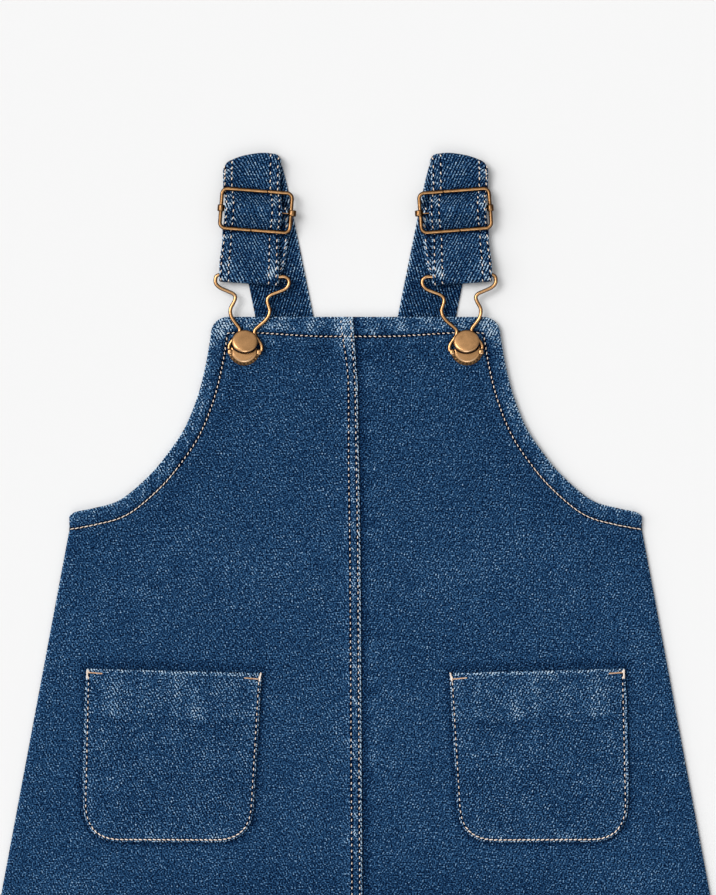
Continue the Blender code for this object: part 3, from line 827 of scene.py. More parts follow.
def front_surface(side):
    """The front's faces at a place, with the seam's fold on the left panel."""
    sizes = bpy.context.scene.pinafore_cloth
    lines = PanelLines(BIB_TOP, left_fold if side < 0 else right_fold)
    pocket = Line(pocket_sides())

    def surface(point):
        depth, along = lines.rim.near(point)
        edge = lines.outline.near(point)[0]
        flank = lines.side.near(point)[0]
        hem, hem_along = lines.hem.near(point)
        seam, seam_along = lines.seam.near(point)
        under = FRONT_FLOOR + lie(point)
        over = under + CLOTH
        fade = tone(point) + patches(point, WORN_BOTH)
        fade += patches(Vector((side * point.x, point.y)), WORN)
        pull = pulled(seam, point.y) if side < 0 else 0.0
        rim = rim_row(point, BIB_TOP, sizes.band)
        high_up = ease(136 * MM, 160 * MM, point.y)
        on_top = ease(BIB_TOP - 14 * MM, BIB_TOP - 9 * MM, point.y)
        size = between(*RIM_ROPES, high_up)
        wear = between(*RIM_WEAR, high_up)
        lifted = between(*RIM_PALE, on_top) + 0.12 * hill(point.y - 147 * MM, 18 * MM)
        for height, pale in (
            stitched_edge(depth, along, rim, TURNED, 1.0, size, wear, lifted),
            stitched_edge(hem, hem_along, sizes.hem_row, TURNED, 12.0, pale=0.1),
        ):
            over += height
            fade += pale
        row = max(rim - depth, sizes.hem_row - hem)
        fade -= 0.13 * (1 - on_top) * hill(depth - rim - 4 * MM, 7 * MM)
        beside = pocket.near(point)[0]
        # Painted shadow round the pocket's edge
        broad, close = POCKET_PAINTED_SHADOW
        fade -= broad * hill(beside, 2.4 * MM) + close * hill(beside, 0.9 * MM)
        if side < 0:
            height, pale = felled(seam, seam_along, point.y)
            over += height
            row = max(row, min(seam - SEAM_NEAR_ROW, at_height(SEAM_FAR_ROW, point.y) - seam))
            under += 0.8 * MM * ease(1.8 * MM, 0.2 * MM, seam)
            under, over = rounded(under, over, seam)
        else:
            streak = waver(seam_along / 0.005, seam / 0.01, 41.0)
            # Painted shadow beside the left panel's fold, then random streaks further off
            pale = -0.62 * hill(seam, 3.0 * MM) + 0.2 * streak * hill(seam - 5 * MM, 5 * MM)
            over -= 0.5 * MM * ease(1.6 * MM, 0.2 * MM, point.x - right_fold(point.y))
        fade += pale
        roll = 1 - math.sqrt(1 - (1 - min(1.0, flank / SIDE_ROLL)) ** 2)
        over -= roll * ROLL_OVER
        under -= roll * ROLL_UNDER
        fade += 0.25 * hill(flank, 0.8 * MM)
        under, over = rounded(under, over, min(edge, hem))
        return under, over, fade, row, pull

    return surface


def back_surface():
    """The back's faces at a place. Its outer face is the one that it lies on."""
    sizes = bpy.context.scene.pinafore_cloth
    lines = PanelLines(BACK_TOP, middle_line)

    def surface(point):
        place = Vector((abs(point.x), point.y))
        depth, along = lines.rim.near(place)
        edge = lines.outline.near(place)[0]
        flank = lines.side.near(place)[0]
        hem, hem_along = lines.hem.near(place)
        under = 0.06 * MM
        over = CLOTH + min(0.12 * MM, 0.2 * lie(point, BACK_CREASES))
        fade = 0.06 * waver(point.x / 0.03, point.y / 0.04, 51.0)
        for distance, far, row, seed in (
            (depth, along, sizes.band, 55.0),
            (hem, hem_along, sizes.hem_row, 58.0),
        ):
            height, pale = stitched_edge(distance, far, row, 0.0, seed)
            under += 0.28 * MM * hill(distance - row, 0.9 * MM)
            over += 0.4 * height
            fade += pale
        over -= 0.5 * MM * ease(3 * MM, 0.0, flank)
        under, over = rounded(under, over, min(edge, hem))
        return under, over, fade, max(sizes.band - depth, sizes.hem_row - hem), 0.0

    return surface


# ---------------------------------------------------------------- pockets


def pocket_end(rise):
    """How far the pocket's side is set in by its round lower corner, at a height over its foot."""
    share = min(1.0, rise / POCKET_CORNER)
    return POCKET_CORNER * (1 - math.sqrt(share)) ** 2


def pocket_point(across, rise):
    """A place on the pocket: across from 0 at its inner side to 1, and its height over the foot."""
    foot = POCKET_FOOT[1].lerp(POCKET_FOOT[0], across)
    top = POCKET_TOP[1].lerp(POCKET_TOP[0], across)
    share = rise / (POCKET_TOP[0].y - POCKET_FOOT[0].y)
    inset = pocket_end(rise) * (1 - 2 * across)
    bow = POCKET_BOW * math.sin(math.pi * share) * across
    return foot.lerp(top, share) + Vector((inset + bow, 0.0))


def pocket_sides():
    """Down the inner side, along the foot and up the outer side."""
    tall = POCKET_TOP[0].y - POCKET_FOOT[0].y
    rises = [tall] + [POCKET_CORNER * (step / 12) ** 2 for step in range(12, -1, -1)]
    inner = [pocket_point(0.0, rise) for rise in rises]
    outer = [pocket_point(1.0, rise) for rise in rises]
    return inner + outer[::-1]


def pocket_surface():
    """The pocket's faces, with its turned mouth standing a little off the panel."""
    sides = Line(pocket_sides())
    mouth = Line([POCKET_TOP[1], POCKET_TOP[0]])

    def surface(point):
        depth, along = sides.near(point)
        down, across = mouth.near(point)
        base = FRONT_TOP + 0.04 * MM + lie(point)
        open_up = 0.55 * MM * hill(down, 6 * MM) * ease(0.0, 25 * MM, depth)
        bulge = 0.5 * MM * ease(0.0, 18 * MM, depth)
        under = base + bulge + open_up
        over = under + CLOTH - 0.1 * MM
        facing = ease(POCKET_FACING + 1.4 * MM, POCKET_FACING - 1.0 * MM,
                      down + 0.8 * MM * waver(across / 0.012, 0.0, 61.0))
        over += 0.22 * MM * facing
        streak = waver(across / 0.0075, down / 0.05, 63.0)
        streak += 0.4 * waver(across / 0.003, down / 0.03, 64.0)
        over += 0.10 * MM * streak * facing
        rope = ropes(along, depth, 0.0036, 0.5, 66.0)
        over += (0.10 * MM * rope * math.exp(-depth / (5 * MM))
                 - 0.15 * MM * hill(depth - POCKET_ROW, 0.6 * MM))
        fade = 0.10 * waver(point.x / 0.012, point.y / 0.014, 68.0) - 0.05
        fade += facing * (0.11 + 0.22 * max(-0.3, streak)) * ease(0.0, 1.5 * MM, down)
        fade -= 0.14 * hill(down - POCKET_FACING - 2.0 * MM, 2.0 * MM)
        fade += (0.10 + 0.6 * rubbed(rope)) * math.exp(-depth / (3.0 * MM))
        notch = max(0.0, waver(across / 0.004, 0.0, 69.0))
        fade += (0.45 * hill(depth, 0.55 * MM)
                 + (0.5 + 1.0 * notch) * hill(down - 0.3 * MM, 0.9 * MM))
        under, over = rounded(under, over, min(depth, down))
        return under, over, fade, POCKET_GROOVE * (POCKET_ROW - depth), 0.0

    return surface


def pocket_rows():
    """Rows of places over a pocket, from its foot to its mouth."""
    tall = POCKET_TOP[0].y - POCKET_FOOT[0].y
    wide = POCKET_FOOT[0].x - POCKET_FOOT[1].x
    low = [POCKET_CORNER * (step / 22) ** 2 for step in range(22)]
    high = [tall - share * (tall - POCKET_CORNER) for share in
            fine_then_even(tall - POCKET_CORNER, 1.1 * MM)][::-1]
    half = [share / 2 for share in fine_then_even(wide / 2, 1.1 * MM)]
    shares = half + [1 - share for share in half[-2::-1]]
    return [[pocket_point(across, rise) for across in shares] for rise in low + high]


# ---------------------------------------------------------------- straps


def corner_drop(share):
    """How far the fold's corner is rounded off at a share of the half width."""
    return TOP_CORNER * (max(0.0, abs(share) - 0.84) / 0.16) ** 2


def fold_bow(share):
    """How far the top fold's line stands up at a share of the half width."""
    slope = STRAP_WIDTH / 2 * share * -math.sin(STRAP_TOP_TILT)
    return slope - TOP_FOLD_BOW * abs(share) ** 2.5 - corner_drop(share)


def back_out(up):
    """How far out the back stretch of a strap is at a height."""
    return STRAP_AT_BIB.x + (up - STRAP_AT_BIB.y) * math.tan(STRAP_BACK_TILT)


def in_slider(along):
    """How far out the strap is between the slider's lower and upper bars, at -1 and 1."""
    return STRAP_AT_SLIDER + 1.15 * MM * along * along - 0.2 * MM * along


def fold(out_first, out_last, up, level, radius, tilt, first, last):
    """Stations round a fold whose axis lies across the strap."""
    stations = []
    for step in range(9):
        way = math.radians(between(first, last, step / 8))
        out = between(out_first, out_last, step / 8)
        stations.append((out, up + radius * math.cos(way), level + radius * math.sin(way), tilt))
    return stations


def strap_stations():
    """Places along the strap as (out, up, level, tilt), from the back to the sewn end."""
    start = BACK_TOP + GAP
    stations = [(back_out(start), start, BACK_LEVEL, 0.0)]
    for up, share in ((175, 0.45), (180, 1.0), (200, 1.0), (222, 1.0), (245, 1.0)):
        stations.append((back_out(up * MM), up * MM, BACK_LEVEL, STRAP_BACK_TILT * share))
    crest = max(fold_bow(step / 20) for step in range(-20, 21))
    fold_up = CAD_BOX[1].y - crest - TOP_FOLD_RADIUS - CLOTH / 2
    stations += fold(back_out(fold_up), STRAP_AT_FOLD, fold_up, BACK_LEVEL + TOP_FOLD_RADIUS,
                     TOP_FOLD_RADIUS, STRAP_TOP_TILT, -90, 90)
    high = BACK_LEVEL + 2 * TOP_FOLD_RADIUS
    top_bar = SLIDER_AT.y + SLIDER_HALF.y
    for share, turn in ((0.3, 0.4), (0.65, -0.05)):
        drop = 0.5 + 0.5 * math.cos(math.pi * share)
        out = between(STRAP_AT_FOLD, in_slider(1) + 0.2 * MM, share)
        tilt = between(HARDWARE_TILT, STRAP_TOP_TILT, turn)
        up = between(fold_up, top_bar, share)
        stations.append((out, up, between(FRONT_LEVEL, high, drop), tilt))
    for step in range(13):
        along = 1 - step / 6
        up = SLIDER_AT.y + along * SLIDER_HALF.y
        level = between(FRONT_LEVEL, OVER_BAR_LEVEL, math.cos(along * math.pi / 2) ** 2)
        stations.append((in_slider(along), up, level, HARDWARE_TILT))
    bottom_bar = SLIDER_AT.y - SLIDER_HALF.y
    for up, share in ((221, 0.0), (214, 0.35), (210, 0.8), (207, 1.0)):
        down = (bottom_bar - up * MM) / (bottom_bar - CLIP_FOLD_UP)
        out = between(in_slider(-1), STRAP_AT_CLIP, down)
        level = between(FRONT_LEVEL, CLIP_LEVEL + CLIP_FOLD, share)
        stations.append((out, up * MM, level, HARDWARE_TILT))
    stations += fold(STRAP_AT_CLIP, STRAP_AT_CLIP, CLIP_FOLD_UP, CLIP_LEVEL, CLIP_FOLD,
                     HARDWARE_TILT, 90, 270)
    loop_low = CLIP_LEVEL - CLIP_FOLD
    wrap_low = SLIDER_LEVEL - WRAP_RADIUS
    for up, out, level in (
        (207, 51.2, loop_low),
        (210, 49.7, between(loop_low, RETURN_LEVEL, 0.7)),
        (215, 48.9, RETURN_LEVEL),
        (222, 48.1, RETURN_LEVEL),
        (229, 47.7, RETURN_LEVEL),
        (233, 47.7, between(RETURN_LEVEL, wrap_low, 0.6)),
    ):
        stations.append((out * MM, up * MM, level, HARDWARE_TILT))
    stations += fold(RETURN_AT_BAR, RETURN_AT_BAR, SLIDER_AT.y, SLIDER_LEVEL, WRAP_RADIUS,
                     HARDWARE_TILT, -90, 100)
    return [Vector(place) for place in stations]


class Strap:
    """The strap's course, read at any distance along it and across it."""

    def __init__(self, side):
        self.side = side
        self.course = evenly(smooth_line(strap_stations(), 4), 0.4 * MM)
        self.far = distances(self.course)
        self.fold_up = max(place.y for place in self.course)
        self.fold_at = self.far[max(range(len(self.far)), key=lambda step: self.course[step].y)]
        self.wall = bpy.context.scene.pinafore_cloth.strap_wall

    def station(self, along):
        share = along / self.far[-1] * (len(self.course) - 1)
        index = min(len(self.course) - 2, max(0, int(share)))
        return self.course[index].lerp(self.course[index + 1], share - index)

    def place(self, along, across):
        """The middle of the cloth. Its outer side is drawn a little wider over the clip."""
        out, up, level, tilt = self.station(along)
        share = 2 * across / STRAP_WIDTH
        below = self.fold_up - up
        flare = STRAP_FLARE * ease(222 * MM, 208 * MM, up) * ease(0.45, 0.6, along / self.far[-1])
        across += flare * max(0.0, share)
        drop = across * math.sin(tilt) + corner_drop(share) * max(0.0, 1 - below / (6 * MM))
        drop += TOP_FOLD_BOW * max(0.0, 1 - below / BOW_REACH) * abs(share) ** 2.5
        return Vector((self.side * (out + across * math.cos(tilt)), up - drop, level))

    def frame_at(self, along, across):
        """The middle of the cloth, and the directions along it and out of its first face."""
        step = 0.4 * MM
        here = self.place(along, across)
        ahead = self.place(min(along + step, self.far[-1]), across)
        way = ahead - self.place(max(along - step, 0.0), across)
        over = self.place(along, across + step) - self.place(along, across - step)
        return here, way.normalized(), over.cross(way).normalized() * -self.side

    def relief(self, along, across, face):
        """Height and fade over the cloth's flat face: welts at the sides, held by stitches, and
        painted shadow on the back stretch, on the sewn end and along the slider's bars.
        """
        edge = STRAP_WIDTH / 2 - abs(across)
        hand = math.copysign(1.0, across)
        seed = 71.0 + 2 * hand + face
        lean = along + 0.8 * edge * hand
        rope = waver(lean / 0.0042, edge / 0.02, seed)
        rope += 0.6 * waver(lean / 0.002, edge / 0.01, seed + 9)
        rows = sum(hill(across - row, 0.6 * MM) for row in STRAP_ROWS)
        welt = ease(6.2 * MM, 4.4 * MM, edge)
        height = (0.10 * MM * welt + 0.09 * MM * rope * ease(8 * MM, 3 * MM, edge)
                  - 0.15 * MM * rows)
        broad = waver((along + 0.9 * across) / 0.011, across / 0.016, 81.0 + face)
        fine = waver((along - 0.7 * across) / 0.006, across / 0.008, 84.0 + face)
        height += 0.10 * MM * broad
        fade = 0.17 * broad + 0.08 * fine + 1.1 * welt * rubbed(rope) - 0.12
        fade += 0.55 * hill(edge, 0.6 * MM)
        # Painted shadow: the back stretch behind the front is darker, keeping a pale worn edge
        shaded = ease(self.fold_at, self.fold_at - 8 * MM, along)
        worn_edge = 0.8 * hill(across + STRAP_WIDTH / 2 - 0.6 * MM, 0.8 * MM)
        fade = between(fade, 0.10 * broad + worn_edge - 0.38, shaded)
        returned = ease(self.far[-1] * RETURN_SHARE, self.far[-1] * (RETURN_SHARE + 0.03), along)
        # The sewn end: a pale worn edge, and painted shadow beside the front layer
        fade += returned * (0.8 * worn_edge - 0.35)
        # Painted shadow along the slider's bars
        off_bar = abs(abs(self.station(along).y - SLIDER_AT.y) - SLIDER_HALF.y)
        fade -= 0.6 * hill(off_bar, 2.1 * MM) * (1 - shaded)
        return height, fade

    def spot(self, along, across):
        middle, way, out = self.frame_at(along, across)
        edge = STRAP_WIDTH / 2 - abs(across)
        upper, pale = self.relief(along, across, 0)
        lower = self.relief(along, across, 1)[0]
        low, high = rounded(-self.wall / 2 - lower, self.wall / 2 + upper, edge)
        faces = [middle + out * low, middle + out * high]
        for face in faces:
            face.z = max(face.z, LOWEST)
        weave = Vector((across, along))
        first, second = STRAP_ROWS[:2] if across < 0 else STRAP_ROWS[2:]
        row = STRAP_GROOVE * min(across - first, second - across)
        return Spot(*faces, pale, row, 0.0, weave)


# ---------------------------------------------------------------- meshes


def cloth_mesh(name, rows, sewn_under=False):
    """A sheet with a wall, drawn from one face to the other. Rows hold spots."""
    bm = bmesh.new()
    across = len(rows[0])
    bmesh.ops.create_grid(bm, x_segments=across - 1, y_segments=len(rows) - 1, size=1)
    bm.verts.ensure_lookup_table()
    wall = bm.verts.layers.float_vector.new("wall")
    fade, row_at, pull = [bm.verts.layers.float.new(name) for name in ("fade", "row", "pull")]
    lay = bm.verts.layers.float_vector.new("lay")
    for i, row in enumerate(rows):
        for j, spot in enumerate(row):
            vert = bm.verts[i * across + j]
            vert.co = spot.under
            vert[wall] = spot.over - spot.under
            vert[fade] = spot.fade
            vert[pull] = spot.pull
            vert[row_at] = spot.row if sewn_under else -1.0
            vert[lay] = (*spot.weave, -1.0 if sewn_under else spot.row)
    raised = bmesh.ops.extrude_face_region(bm, geom=bm.faces[:])
    for item in raised["geom"]:
        if isinstance(item, bmesh.types.BMVert):
            item.co += item[wall]
            item[row_at] = item[lay].z
    weave = bm.loops.layers.uv.new("weave")
    for face in bm.faces:
        for loop in face.loops:
            loop[weave].uv = loop.vert[lay].xy
    vectors = bm.verts.layers.float_vector
    for helper in ("wall", "lay"):
        vectors.remove(vectors[helper])
    bmesh.ops.recalc_face_normals(bm, faces=bm.faces)
    return mesh_from(bm, name)


def panel_spots(rows, side, surface):
    """The spots over rows of (out, up) places, on one side of the dress."""
    spots = []
    for across in rows:
        line = []
        for point in across:
            under, over, *marks = surface(point)
            flat = Vector((side * point.x, point.y))
            line.append(Spot(Vector((*flat, under)), Vector((*flat, over)), *marks, flat))
        spots.append(line)
    return spots


def mesh_from(bm, name):
    """A smooth mesh from a bmesh, which is used up."""
    for face in bm.faces:
        face.smooth = True
    mesh = bpy.data.meshes.new(name)
    bm.to_mesh(mesh)
    bm.free()
    return mesh


def add_piece(name, mesh, material, slot, *nodes):
    """An object that rides on the dress, in place of the nodes it stands for."""
    item = bpy.data.objects.new(name, mesh)
    bpy.context.scene.collection.objects.link(item)
    mesh.materials.append(material)
    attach(item, "root")
    if nodes:
        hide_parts(*nodes)
    return item


def lay_cloth(name, node, side, rows, surface, material):
    """A sheet that lies flat in its node's place, with its size and area as cut."""
    mesh = cloth_mesh(name, panel_spots(rows, side, surface))
    item = add_piece(name, mesh, material, "denim", node)
    cut_area(outline_of(rows))


def cut_area(outline):
    """Area inside a closed outline."""
    pairs = zip(outline, outline[1:] + outline[:1])
    return abs(sum(a.x * b.y - b.x * a.y for a, b in pairs)) / 2


def outline_of(rows):
    """The points round a grid of rows."""
    right = [row[-1] for row in rows]
    left = [row[0] for row in rows]
    return rows[0] + right + rows[-1][::-1] + left[::-1]


# ---------------------------------------------------------------- stitches


def stitch(centre, way, out, reach, thick):
    """Where a unit ball becomes one stitch: a short thread that dips into the cloth at its ends."""
    aside = way.cross(out).normalized()
    out = aside.cross(way).normalized()
    turn = Matrix((aside * thick / 2, out * thick * 0.42, way.normalized() * reach / 2))
    return Matrix.Translation(centre) @ turn.transposed().to_4x4()


def thread_mesh(name, places):
    """All the stitches of a piece, made a batch at a time."""
    bm = bmesh.new()
    bm.loops.layers.uv.new("ply")
    for start in range(0, len(places), 50):
        batch = bmesh.new()
        batch.loops.layers.uv.new("ply")
        for place in places[start:start + 50]:
            bmesh.ops.create_uvsphere(batch, u_segments=6, v_segments=6, radius=1.0, matrix=place,
                                      calc_uvs=True)
        add_to(bm, batch)
    return mesh_from(bm, name)


def sew_flat(line, side, surface, pitch, lean=0.0, under=False, reach=0.0, bulk=1.0):
    """A row of stitches along a flat line, on the upper or the lower face."""
    places = []
    sizes = bpy.context.scene.pinafore_stitch
    points = evenly(line, pitch)
    for number, (a, b) in enumerate(zip(points, points[1:])):
        middle = (a + b) / 2
        aside = Vector((a.y - b.y, b.x - a.x)).normalized() * 0.8 * MM
        beside = [surface(middle + aside), surface(middle - aside)]
        low = sum(faces[0] for faces in beside) / 2
        high = sum(faces[1] for faces in beside) / 2
        drift = 0.12 * waver(number * 0.37, side, 91.0)
        way = (b - a).to_3d()
        way.x *= side
        way.rotate(Matrix.Rotation(side * lean + drift, 3, "Z"))
        level = max(0.32 * MM, low + 0.16 * MM) if under else high + 0.04 * MM
        out = Vector((0, 0, -1 if under else 1))
        shown = (reach or sizes.reach) * pitch * (1 + 0.1 * waver(number * 0.53, side, 93.0))
        centre = Vector((side * middle.x, middle.y, level))
        places.append(stitch(centre, way, out, shown, sizes.thread * bulk))
    return places


def add_stitches(name, places, finish):
    """One piece from all the stitches of a row or of several rows."""
    add_piece(name, thread_mesh(name, places), finish, "thread")


def set_in(line, depth):
    """A flat line moved in by a depth, without the knots that a tight corner makes."""
    moved = [point + way * depth for point, way in zip(line, normals(line))]
    kept = [moved[0]]
    for point in moved[1:]:
        if (point - kept[-1]).length > 0.3 * MM:
            kept.append(point)
    return kept


def tack(bar, side, surface, width):
    """A bar tack: threads laid close together across a short bar."""
    start, end = Vector(bar[:2]) * MM, Vector(bar[2:]) * MM
    places = []
    thick = bpy.context.scene.pinafore_stitch.tack_thread
    way = (end - start).to_3d().normalized()
    way.x *= side
    cross = Vector((-way.y, way.x, 0.0)) + way * 0.25
    count = round((end - start).length / (thick * 0.72))
    for step in range(count + 1):
        point = start.lerp(end, step / count)
        level = surface(point)[1] + 0.16 * MM
        reach = width * (1 + 0.1 * waver(step * 0.7, start.x * 100, 95.0))
        centre = Vector((side * point.x, point.y, level))
        places.append(stitch(centre, cross, Vector((0, 0, 1)), reach, thick))
    return places


# ---------------------------------------------------------------- fittings


def hardware_place(at, level, side):
    """Across, along and up for a fitting, mirrored on the other side."""
    mirror = Matrix.Diagonal((-side, 1.0, 1.0, 1.0))
    turn = Matrix.Rotation(HARDWARE_TILT, 4, "Z")
    return mirror @ Matrix.Translation((-at.x, at.y, level)) @ turn


def sweep(bm, course, radii, closed, sides=16):
    """A round wire along a course: a ring of vertices, extruded from place to place."""
    count = len(course)
    rings = []
    for i, point in enumerate(course):
        before = course[i - 1] if closed or i else point
        after = course[(i + 1) % count] if closed or i < count - 1 else point
        way = (after - before).normalized()
        turn = Vector((0, 0, 1)).rotation_difference(way).to_matrix()
        across = Vector((0, 0, 1)).cross(way).normalized()
        if across.length:
            turn = Matrix((across, way.cross(across), way)).transposed()
        rings.append(Matrix.Translation(point) @ turn.to_4x4() @ Matrix.Scale(radii[i], 4))
    made = bmesh.ops.create_circle(bm, cap_ends=False, segments=sides, radius=1.0)
    ring = made["verts"]
    places = [vert.co.copy() for vert in ring]
    edges = list({edge for vert in ring for edge in vert.link_edges})
    bmesh.ops.transform(bm, matrix=rings[0], verts=ring)
    first = edges
    for matrix in rings[1:]:
        grown = bmesh.ops.extrude_edge_only(bm, edges=edges)["geom"]
        ring = [item for item in grown if isinstance(item, bmesh.types.BMVert)]
        edges = [item for item in grown if isinstance(item, bmesh.types.BMEdge)]
        for vert, place in zip(ring, places):
            vert.co = matrix @ place
    if closed:
        bmesh.ops.bridge_loops(bm, edges=first + edges)
    else:
        bmesh.ops.contextual_create(bm, geom=first)
        bmesh.ops.contextual_create(bm, geom=edges)


def spin_profile(bm, profile, steps=40):
    """A turned shape from (radius, height) points, from its top down its outer side."""
    verts = [bm.verts.new((radius, 0.0, height)) for radius, height in profile]
    for a, b in zip(verts, verts[1:]):
        bm.edges.new((a, b))
    bmesh.ops.spin(bm, geom=bm.edges[:], cent=(0, 0, 0), axis=(0, 0, 1), angle=math.tau,
                   steps=steps, use_merge=True)
    bmesh.ops.remove_doubles(bm, verts=bm.verts, dist=1e-6)


def finish_fitting(bm, name, place):
    """Set a fitting in its place, with its corners kept sharp."""
    bm.transform(place)
    bmesh.ops.recalc_face_normals(bm, faces=bm.faces)
    for edge in bm.edges:
        edge.smooth = edge.calc_face_angle(0.0) < SHARP
    return mesh_from(bm, name)


def add_to(bm, part):
    """Add one bmesh's faces to another."""
    mesh = bpy.data.meshes.new("part")
    part.to_mesh(mesh)
    part.free()
    bm.from_mesh(mesh)
    bpy.data.meshes.remove(mesh)


def slider_course():
    """Round the frame's rounded rectangle, with close places at its butted joint."""
    course = []
    for corner in range(4):
        middle = math.radians(45 + 90 * corner)
        reach = SLIDER_HALF - Vector((SLIDER_CORNER, SLIDER_CORNER))
        centre = Vector((math.copysign(reach.x, math.cos(middle)),
                         math.copysign(reach.y, math.sin(middle)), 0.0))
        for step in range(9):
            way = middle + math.radians(-45 + 11.25 * step)
            course.append(centre + SLIDER_CORNER * Vector((math.cos(way), math.sin(way), 0.0)))
    return course


def collar_profile(half, outer):
    """Half a collar's cut as (radius, height): round outer corners and a bore for the wire."""
    inner = SLIDER_WIRE + 0.02 * MM
    flat, corner = 0.45 * MM, 0.13 * MM
    return ((inner, half), (outer - flat, half), (outer - corner, half - corner),
            (outer, half - flat), (outer, flat - half), (outer - corner, corner - half),
            (outer - flat, -half), (inner, -half), (inner, half))


def make_slider(side):
    """The wire frame, its cross bar and a collar round each of its sides."""
    bm = bmesh.new()
    course = []
    radii = []
    turned = slider_course()
    for index, point in enumerate(turned):
        course.append(point)
        radii.append(SLIDER_WIRE)
        if index in SLIDER_JOINTS:
            across, hand = SLIDER_JOINTS[index]
            joint = Vector((across * MM, hand * SLIDER_HALF.y, 0.0))
            for offset, girth in JOINT_GIRTHS:
                course.append(joint - Vector((hand * offset * MM, 0.0, 0.0)))
                radii.append(SLIDER_WIRE * girth)
    sweep(bm, course, radii, True)
    bar = bmesh.new()
    reach = SLIDER_HALF.x - SLIDER_WIRE
    course = [Vector((share * reach, 0.0, 0.0)) for share in (-1, -0.5, 0, 0.5, 1)]
    sweep(bar, course, [SLIDER_BAR] * len(course), False)
    add_to(bm, bar)
    for end, half, beyond in ((-1, 1.7 * MM, 0.0), (1, 1.5 * MM, 0.6 * MM)):
        collar = bmesh.new()
        spin_profile(collar, collar_profile(half, 1.75 * MM + beyond / 2), 28)
        turn = Matrix.Rotation(math.pi / 2, 4, "X")
        collar.transform(Matrix.Translation((end * SLIDER_HALF.x + beyond, 0, 0)) @ turn)
        add_to(bm, collar)
    return finish_fitting(bm, "slider", hardware_place(SLIDER_AT, SLIDER_LEVEL, side))


def make_clip_wire(side):
    """The bent wire: up one leg from its foot, over the top and down the other."""
    outer, inner = [
        smooth_line([(Vector(point) * MM).to_3d() for point in table], 5)
        for table in (CLIP_OUTER_LEG, CLIP_INNER_LEG)
    ]
    course = outer[::-1] + smooth_line([outer[0], inner[0]], 4)[1:-1] + inner
    bm = bmesh.new()
    sweep(bm, course, [CLIP_WIRE] * len(course), False)
    return finish_fitting(bm, "clip_wire", hardware_place(CLIP_AT, CLIP_LEVEL, side))


def crescent_point(across, share, spread=0.0):
    """From the plate's hollow upper edge to its round lower edge."""
    rise, radius = PLATE_HOLLOW
    way = math.radians(between(179, 361, across))
    lower = PLATE_AT + (PLATE_RADIUS + spread) * Vector((math.cos(way), math.sin(way)))
    lean = math.radians(between(-48, 48, across))
    upper = PLATE_AT + Vector((radius * math.sin(lean), rise - radius * math.cos(lean)))
    return upper.lerp(lower, share)


def make_plate(side):
    """The crescent under the button, sloping out to its foot, with an ear at each wire end."""
    bm = bmesh.new()
    acrosses = fine_then_even(0.5, 0.02, (0.0, 0.1, 0.3, 0.6, 1.0))
    acrosses = [share / 2 for share in acrosses] + [1 - share / 2 for share in acrosses[-2::-1]]
    shares = (0, 0.01, 0.03, 0.06, 0.1, 0.15, 0.22, 0.35, 0.5, 0.65, 0.78, 0.85, 0.9, 0.94, 0.97,
              0.99, 1)
    edge = [crescent_point(across, 0.0) for across in acrosses]
    edge += [crescent_point(across, 1.0) for across in acrosses[::-1]]
    outline = Line(evenly(edge + edge[:1], 0.1 * MM))
    bmesh.ops.create_grid(bm, x_segments=len(acrosses) - 1, y_segments=len(shares) - 1, size=1)
    bm.verts.ensure_lookup_table()
    rise = bm.verts.layers.float_vector.new("rise")
    for j, share in enumerate(shares):
        for i, across in enumerate(acrosses):
            vert = bm.verts[j * len(acrosses) + i]
            vert.co = crescent_point(across, share, PLATE_SPREAD).to_3d()
            place = crescent_point(across, share)
            wide = between(PLATE_UPPER_ROUND, PLATE_ROUND, ease(0.2, 0.5, share))
            short = 1 - min(1.0, outline.near(place)[0] / wide)
            fall = between(1 - math.sqrt(1 - short * short), short, PLATE_CHAMFER)
            height = PLATE_THICK - wide * fall
            vert[rise] = (*(place - vert.co.xy), height)
    grown = bmesh.ops.extrude_face_region(bm, geom=bm.faces[:])["geom"]
    for item in grown:
        if isinstance(item, bmesh.types.BMVert):
            item.co += item[rise]
    bm.verts.layers.float_vector.remove(bm.verts.layers.float_vector["rise"])
    bmesh.ops.recalc_face_normals(bm, faces=bm.faces)
    for at in EARS_AT:
        ear = bmesh.new()
        place = Matrix.Translation((*at, EAR_SIZE.z / 2)) @ Matrix.Diagonal((*EAR_SIZE, 1.0))
        bmesh.ops.create_cube(ear, size=1.0, matrix=place)
        bmesh.ops.bevel(ear, geom=ear.edges[:], offset=0.95 * MM, segments=6, profile=0.5,
                        affect="EDGES", material=-1)
        add_to(bm, ear)
    base = FRONT_TOP + GAP
    return finish_fitting(bm, "clip_plate", hardware_place(CLIP_AT, base, side))


BUTTON_PROFILE = (  # radius, height in millimetres, from the middle of the face down its side
    (0.0, 4.46),
    (2.0, 4.44),
    (4.0, 4.39),
    (5.3, 4.30),
    (5.62, 4.25),
    (5.82, 4.14),
    (6.22, 3.78),
    (6.37, 3.58),
    (6.45, 3.35),
    (6.47, 3.15),
    (6.3, 2.98),
    (5.4, 2.9),
    (2.2, 2.85),
    (2.1, 1.2),
    (2.4, 0.5),
    (2.7, 0.2),
    (2.7, 0.0),
    (0.0, 0.0),
)


def make_button(side):
    """The button, turned about its shank and leaning in its hole."""
    bm = bmesh.new()
    spin_profile(bm, [(radius * MM, height * MM) for radius, height in BUTTON_PROFILE], 64)
    foot = FRONT_TOP + GAP + BUTTON_FOOT * math.sin(BUTTON_LEAN)
    lean = Matrix.Rotation(-BUTTON_LEAN, 4, "X") @ Matrix.Scale(0.93, 4, (0, 1, 0))
    place = hardware_place(CLIP_AT, 0.0, side) @ Matrix.Translation((*BUTTON_AT, foot)) @ lean
    return finish_fitting(bm, "button", place)


# ---------------------------------------------------------------- materials


def fill(tree, node, inputs):
    """Set a node's inputs; one that is given a socket is linked to it."""
    for key, value in inputs.items():
        if isinstance(value, bpy.types.NodeSocket):
            tree.links.new(value, node.inputs[key])
        else:
            node.inputs[key].default_value = value


